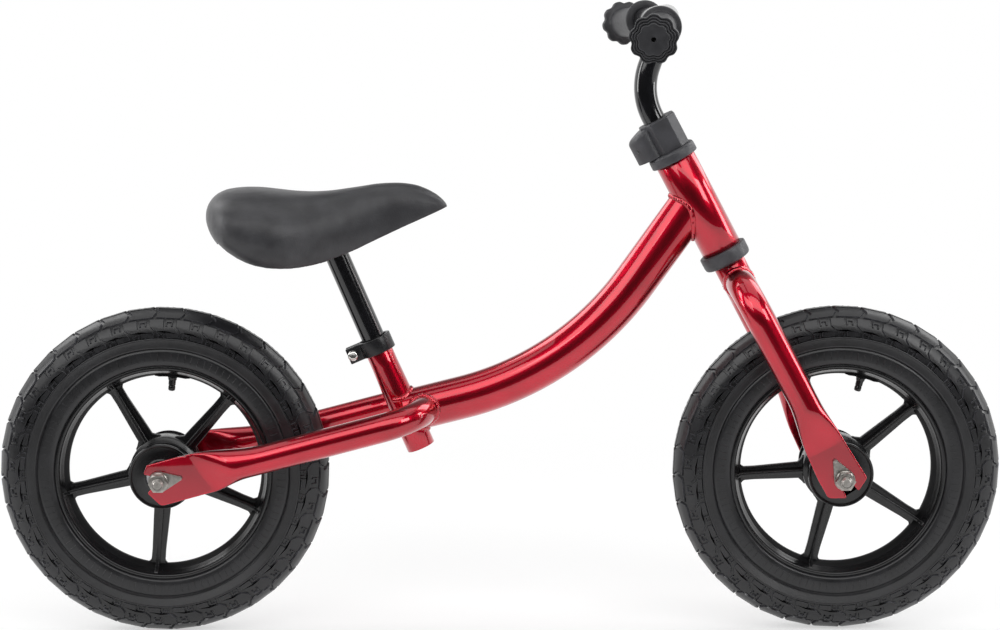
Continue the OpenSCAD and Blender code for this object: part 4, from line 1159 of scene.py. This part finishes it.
def addTreadBlock(bm, outline, mirrored):
    # Draw the block flat, cut it across so that it can bend, give it height, then lay it on the tyre
    wide = math.tau * tyre["patternAt"] / tyre["pitches"]
    flat = bmesh.new()
    flat.faces.new([flat.verts.new((pitch * wide, along, 0)) for pitch, along in outline])
    low, high = min(along for pitch, along in outline), max(along for pitch, along in outline)
    cuts = max(1, round((high - low) / tyre["cut"]))
    for k in range(1, cuts):
        bmesh.ops.bisect_plane(flat, geom=flat.verts[:] + flat.edges[:] + flat.faces[:],
                               plane_co=(0, low + (high - low) * k / cuts, 0), plane_no=(0, 1, 0))
    thicken(flat, flat.faces[:], 1)
    bmesh.ops.recalc_face_normals(flat, faces=flat.faces)
    ridge = [e for e in flat.edges if all(v.co.z > 0.5 for v in e.verts)
             and min(abs(f.normal.z) for f in e.link_faces) < 0.5]
    # bevels of the blocks away from the crown take the second, lighter finish: a painted highlight on their edges
    for face in soften(flat, ridge, tyre["bevel"], segments=1)["faces"]:
        face.material_index = 1 if face.calc_center_median().y > tyre["edgeHighlightFrom"] else 0
    for vert in flat.verts:
        radius, side = sectionPoint(vert.co.y, 0.0 if vert.co.z > 0.5 else tyre["depth"] + tyre["sunk"])
        a = vert.co.x / wide * math.tau / tyre["pitches"]
        vert.co = Vector((radius * math.cos(a), radius * math.sin(a), -side if mirrored else side))
    bmesh.ops.recalc_face_normals(flat, faces=flat.faces)
    block = bpy.data.meshes.new("treadBlock")
    flat.to_mesh(block)
    flat.free()
    old = set(bm.verts)
    bm.from_mesh(block)
    bpy.data.meshes.remove(block)
    spinCopies(bm, newSince(bm, old), tyre["pitches"])


def tyreOutline():
    # Section of the body under the tread and the sidewalls: (radius, side), from one bead to the other
    half = [sectionPoint(tyre["edge"] * k / 12, tyre["depth"]) for k in range(13)] + tyre["wall"]
    lines = tyre["lines"]
    r = lines["from"]
    while r > lines["to"]:  # fine turned lines on the smooth band
        hollow = lines["hollow"] * (lines["hollowFrom"] - r) ** 2
        half += [(r, lines["crest"] - hollow), (r - lines["wide"], lines["groove"] - hollow)]
        r -= lines["pitch"]
    half += tyre["band"]
    return [(r, -y) for r, y in reversed(half)] + half[1:]


def makeTyre(name, node, centre, body):
    bm = bmesh.new()
    lathe(bm, Matrix.Identity(4), tyreOutline(), tyre["sides"], closed=True)
    for outline in tyre["blocks"].values():
        addTreadBlock(bm, outline, False)
        addTreadBlock(bm, [(pitch + 0.5, along) for pitch, along in outline], True)
    addTreadBlock(bm, [(pitch + 0.25, along) for pitch, along in tyre["crownBlock"]], False)
    # fine radial ribs moulded on the inner band of each sidewall
    out, side = tyre["ribAt"]
    for s in (-1, 1):
        old = set(bm.verts)
        rib = bmesh.ops.create_cube(bm, size=1.0)["verts"]
        bmesh.ops.scale(bm, vec=tyre["ribSize"], verts=rib)
        bmesh.ops.translate(bm, vec=(out, 0, s * side), verts=rib)
        soften(bm, [e for e in edgesOf(rib) if all(v.co.z * s > side for v in e.verts)], 0.2, segments=1)
        spinCopies(bm, newSince(bm, old), tyre["ribs"])
    bmesh.ops.transform(bm, matrix=Matrix.Translation(centre) @ turn(90, "X"), verts=bm.verts)
    # the second finish is the painted highlight on the tread blocks' edges
    keepPiece(name, bm, "tyre", body, [node], smooth=32, second="edgeHighlight")


wheel = {
    "bore": 84.9, "lip": 95.6, "lipSide": 19.0, "sides": 180, "mattWide": 11, "mattFrom": -1.5, "mattTo": 3.6,
    "spokes": 5, "spokeWide": 14.6, "spokeThick": 4.4, "finThick": 3.348, "finHigh": 18.0, "hubFillet": 4.4,
    "rimFillet": 5.0, "spokeTaper": 1.3,
    "hubRing": 30.5, "hubRingHigh": 22.0, "barrel": 25.0, "hubWide": 69.0, "hubBore": 13.0, "disc": 28.75,
    "valveRadius": 3.25, "valveLength": 14.8, "valveIn": 0.8, "padHalf": 10.5, "padRise": 1.1, "padWide": 9.0,
    "rearValve": 84.7, "frontValve": 75.5,
}


def discSector(bm, points, thick, bevel, place):
    # A flat moulded shape with softened edges, its thickness shared about the place's own plane
    old = set(bm.verts)
    raised(bm, points, thick)
    fresh = newSince(bm, old)
    bmesh.ops.translate(bm, vec=(0, 0, -thick / 2), verts=fresh)
    bm.normal_update()
    soften(bm, sharpOf(edgesOf(fresh), 50), bevel, segments=3)
    bmesh.ops.transform(bm, matrix=place, verts=newSince(bm, old))


def spokeOutline():
    # Straight sides that flare into the rim and the hub through fillets
    hub, bore, half = wheel["hubRing"], wheel["bore"], wheel["spokeWide"] / 2
    atHub, atRim, narrow = wheel["hubFillet"], wheel["rimFillet"], half - wheel["spokeTaper"]
    side = [(hub - 4, half + atRim + 1), (hub - 1.2, half + atRim)]
    for k in range(1, 7):
        across, up = polar(atHub, 15 * k)
        side.append((hub - 1.2 + up, half + atHub - up))
    side += [(hub + 11.2, half - 0.2), (bore - 12.4, narrow)]
    for k in range(1, 7):
        across, up = polar(atRim, 15 * k)
        side.append((bore - 4.8 + up, narrow + atRim - across))
    side.append((bore + 1.6, half + atRim - 0.6))
    return [(x, -y) for x, y in side] + [(x, y) for x, y in reversed(side)]


def addRing(bm):
    # The channel the tyre sits in, from its middle out to one flange, mirrored
    bore, lip, side = wheel["bore"], wheel["lip"], wheel["lipSide"]
    half = [(bore, 0.0), (bore, 2.0), (bore + 0.35, 3.4), (bore + 1.5, 6.0), (bore + 3.2, 10.2), (bore + 5.0, 14.2),
            (bore + 5.6, 15.6), (bore + 6.0, 17.0), (bore + 6.7, 18.3), (bore + 7.7, 18.95), (bore + 8.6, side),
            (lip - 0.9, side - 0.1), (lip - 0.25, side - 0.5), (lip, side - 1.2), (lip - 0.1, side - 2.2),
            (lip - 2.0, side - 4.0)]
    lathe(bm, Matrix.Identity(4), [(r, -z) for r, z in reversed(half)] + half[1:], wheel["sides"], closed=True)


def addSpoke(bm, at):
    # A flat web, crossed by a rib that runs out as a fin up the rim's flank on both sides
    hub, bore, high = wheel["hubRing"], wheel["bore"], wheel["finHigh"] / 2
    discSector(bm, spokeOutline(), wheel["spokeThick"], bevel=0.8, place=at)
    fin = [(hub - 5, -high - 1.5), (hub + 4, -high), (bore - 6, -high + 0.4), (bore + 0.8, -high - 0.9),
           (bore + 4.6, -15.4), (bore + 6.2, -16.4)]
    discSector(bm, mirroredOutline(fin), wheel["finThick"], bevel=0.6, place=at @ turn(90, "X"))


def addHub(bm):
    # A middle ring, a barrel with soft steps, and a shallow raised rim on each face
    mid, disc, barrel, hub = wheel["hubRingHigh"] / 2, wheel["disc"], wheel["barrel"], wheel["hubRing"]
    bore, wide = wheel["hubBore"], wheel["hubWide"] / 2
    outer = [(bore, wide), (14.5, wide), (15.2, wide - 0.5), (16.4, wide - 0.9), (25.6, wide - 0.9),
             (26.4, wide - 0.3), (27.0, wide), (28.0, wide), (disc - 0.2, wide - 0.4), (disc, wide - 1.1),
             (disc, wide - 2.6), (disc - 0.5, wide - 3.1), (26.2, wide - 3.4), (25.4, wide - 4.0),
             (barrel, wide - 5.5), (barrel, 16.5), (25.6, 14.2), (27.2, 12.8), (hub - 1.2, mid + 0.2),
             (hub - 0.3, mid - 0.4), (hub, mid - 1.3)]
    loop = outer + [(hub, 0.0)] + [(r, -z) for r, z in reversed(outer)] + [(bore, 0.0)]
    lathe(bm, Matrix.Identity(4), loop, steps=96, closed=True)


def addValve(bm, valveAt):
    # The moulded stand-in for a valve, on a pad that thickens the bore
    bore, r, tall, half = wheel["bore"], wheel["valveRadius"], wheel["valveLength"], wheel["padHalf"]
    stand = turn(valveAt, "Z") @ shift(bore + wheel["valveIn"], 0, 0) @ turn(-90, "Y")
    lathe(bm, stand, [(0, -0.5), (r + 1.8, -0.5), (r + 1.8, 1.8), (r + 1.2, 2.6), (r + 0.7, 3.4), (r + 0.55, 4.6),
                      (r + 0.5, 5.0), (r, 5.6), (r - 0.05, 9.4), (r - 0.35, 9.8), (r - 0.35, 10.6), (r - 0.1, 11.0),
                      (r - 0.15, tall - 1.2), (r - 0.6, tall - 0.4), (r - 1.2, tall), (0, tall)], steps=32)
    slopes = {0: 0, 1: 0.45}  # its two ends rise in two short steps
    pad = [polar(bore - wheel["padRise"] * slopes.get(8 - abs(k - 8), 1), -half + half * k / 8) for k in range(17)]
    pad += [polar(bore + 1, degrees) for degrees in (half, 0, -half)]
    discSector(bm, pad, wheel["padWide"], bevel=0.4, place=turn(valveAt, "Z"))


def makeRim(name, node, centre, body, valveAt):
    bm = bmesh.new()
    addRing(bm)
    for k in range(wheel["spokes"]):
        addSpoke(bm, turn(valveAt + 180 / wheel["spokes"] + k * 360 / wheel["spokes"], "Z"))
    addHub(bm)
    addValve(bm, valveAt)
    for face in bm.faces:
        middleAt = face.calc_center_median()
        beyond = math.hypot(middleAt.x, middleAt.y) - wheel["bore"]
        if wheel["mattFrom"] < beyond < wheel["mattTo"] and abs(middleAt.z) < wheel["mattWide"]:
            face.material_index = 1
    bmesh.ops.transform(bm, matrix=Matrix.Translation(centre) @ turn(90, "X"), verts=bm.verts)
    keepPiece(name, bm, "rim", body, [node], smooth=35, second="rimMatt")


for end, centre in (("rear", rearAxle), ("front", frontAxle)):
    makeTyre(end + "Tyre", end + "_tyre", centre, end + "_wheel")
    makeRim(end + "Rim", end + "_rim", centre, end + "_wheel", wheel[end + "Valve"])
print("balance bike: wheels made")

# What stays as the CAD gives it, mostly inside: only the finish is new
keptFinishes = {"fork_steerer": "red", "stem_collar": "zinc", "stem_collar_bolt": "bolt", "stem_collar_nut": "zinc",
                "rear_axle_spacers": "zinc", "front_axle_spacers": "zinc", "rear_hub_bearings": "bearing",
                "front_hub_bearings": "bearing", "post_plate": "satin", "saddle_screws": "bolt",
                "saddle_base": "base"}
for node, finish in keptFinishes.items():
    for slot in cadNodes[node].material_slots:
        slot.material = finishes[finish]

# Studio, in metres: a pale sheet that reaches 0.9 m in front of the bicycle, a dark room beyond it, white paper
# behind, and soft boxes over and beside the bicycle. A lamp is (place, wide, high, watts), a fade (start, end).
studio = {
    "floor": (-4.0, -0.90, 4.0, 4.5), "turned": -13, "under": 0.0002, "floorFade": (0.35, 0.95), "floorNear": 0.55,
    "dark": 0.05, "behind": (0.1, 0.35), "paperTop": (0.25, 0.5), "abovePaper": 0.12,
    "lamps": {
        "overheadBox": ((0.0, 0.1, 2.2), 3.0, 1.6, 15), "frontBox": ((0.1, -1.5, 1.75), 2.4, 1.3, 20),
        "leftBox": ((-1.75, -1.65, 1.5), 1.8, 1.2, 16), "rightBox": ((1.75, -1.55, 1.4), 0.8, 0.9, 13),
        "leftStrip": ((-2.2, 0.0, 0.9), 0.6, 1.5, 17), "rightStrip": ((2.2, 0.1, 0.9), 0.6, 1.5, 17),
        "leftRim": ((-1.5, 1.1, 1.7), 1.0, 1.2, 12), "rightRim": ((1.5, 1.1, 1.7), 1.0, 1.2, 12),
    },
    "stripAim": (0, 0, 0.45),
}


def makeFloor():
    bm = bmesh.new()
    x0, y0, x1, y1 = studio["floor"]
    bmesh.ops.create_grid(bm, x_segments=4, y_segments=4, size=0.5)
    bmesh.ops.scale(bm, vec=(x1 - x0, y1 - y0, 1), verts=bm.verts)
    bmesh.ops.translate(bm, vec=((x0 + x1) / 2, (y0 + y1) / 2, cadLow.z - studio["under"]), verts=bm.verts)
    bmesh.ops.rotate(bm, cent=(0, 0, 0), matrix=turn(studio["turned"], "Z").to_3x3(), verts=bm.verts)
    floor = meshObject("studioFloor", bm)
    floor.data.materials.append(finishes["paper"])


def lightFloor(material):
    # The camera sees the sheet melt into white away from the bicycle; its shadow stays
    tree = material.node_tree
    shader = tree.nodes["Principled BSDF"]
    place = addNode(tree, "ShaderNodeNewGeometry").outputs["Position"]
    away = addNode(tree, "ShaderNodeVectorMath", {"Vector": place}, operation="LENGTH").outputs["Value"]
    start, end = studio["floorFade"]
    fade = addNode(tree, "ShaderNodeMapRange", {"Value": away}, From_Min=start, From_Max=end,
                   To_Min=studio["floorNear"])
    rays = addNode(tree, "ShaderNodeLightPath").outputs
    looked = addNode(tree, "ShaderNodeMath", {0: rays["Is Camera Ray"], 1: rays["Is Glossy Ray"]},
                     operation="MAXIMUM")
    melted = addNode(tree, "ShaderNodeMath", {0: looked.outputs["Value"], 1: fade.outputs["Result"]},
                     operation="MULTIPLY")
    glow = addNode(tree, "ShaderNodeEmission", Color=(1, 1, 1, 1), Strength=1.0)
    mix = addNode(tree, "ShaderNodeMixShader", {"Fac": melted.outputs["Value"], 1: shader.outputs["BSDF"],
                                                2: glow.outputs["Emission"]})
    tree.links.new(mix.outputs["Shader"], tree.nodes["Material Output"].inputs["Surface"])


def makeWorld():
    # White paper right up behind; the room in front is dark
    world = bpy.data.worlds.new("studioWhite")
    bpy.context.scene.world = world
    world.use_nodes = True
    tree = world.node_tree
    ray = addNode(tree, "ShaderNodeTexCoord").outputs["Generated"]
    parts = addNode(tree, "ShaderNodeSeparateXYZ", {"Vector": ray}).outputs
    start, end = studio["behind"]
    behind = addNode(tree, "ShaderNodeMapRange", {"Value": parts["Y"]}, From_Min=start, From_Max=end)
    # the paper ends above the bicycle, so the upper sides of the tubes stay deep
    start, end = studio["paperTop"]
    below = addNode(tree, "ShaderNodeMapRange", {"Value": parts["Z"]}, From_Min=start, From_Max=end,
                    To_Min=1.0, To_Max=studio["abovePaper"])
    paper = addNode(tree, "ShaderNodeMath", {0: behind.outputs["Result"], 1: below.outputs["Result"]},
                    operation="MULTIPLY")
    rays = addNode(tree, "ShaderNodeLightPath").outputs
    seen = addNode(tree, "ShaderNodeMath", {0: paper.outputs["Value"], 1: rays["Is Camera Ray"]},
                   operation="MAXIMUM")
    through = addNode(tree, "ShaderNodeMath", {0: seen.outputs["Value"], 1: rays["Is Transmission Ray"]},
                      operation="MAXIMUM")
    bright = addNode(tree, "ShaderNodeMapRange", {"Value": through.outputs["Value"]}, To_Min=studio["dark"])
    backdrop = tree.nodes["Background"]
    backdrop.inputs["Color"].default_value = (1, 1, 1, 1)
    tree.links.new(bright.outputs["Result"], backdrop.inputs["Strength"])


def addLamp(name, place, wide, high, power):
    lamp = bpy.data.lights.new(name, "AREA")
    lamp.shape = "RECTANGLE"
    lamp.size, lamp.size_y, lamp.energy = wide, high, power
    holder = newObject(name, lamp)
    holder.location = place
    target = Vector(studio["stripAim"]) if name.endswith("Strip") else (cadLow + cadHigh) / 2
    holder.rotation_euler = (target - Vector(place)).to_track_quat("-Z", "Y").to_euler()


makeFloor()
lightFloor(finishes["paper"])
makeWorld()
for name, settings in studio["lamps"].items():
    addLamp(name, *settings)

view = {"from": (-0.0471, -2.3125, 0.6172), "yaw": 0.0149, "pitch": 0.1496, "lens": 95.73, "sensor": 36.0,
        "shiftX": 0.0131, "shiftY": 0.0153, "near": 0.05, "far": 60}


def makeCamera():
    camera = bpy.data.cameras.new("view")
    camera.sensor_width, camera.lens = view["sensor"], view["lens"]
    camera.shift_x, camera.shift_y = view["shiftX"], view["shiftY"]
    camera.clip_start, camera.clip_end = view["near"], view["far"]
    holder = newObject("view", camera)
    holder.location = view["from"]
    holder.rotation_euler = Euler((math.pi / 2 - view["pitch"], 0, -view["yaw"]), "XYZ")
    bpy.context.scene.camera = holder


makeCamera()
bpy.context.scene.view_settings.view_transform = "Standard"

print("balance bike: scene ready")
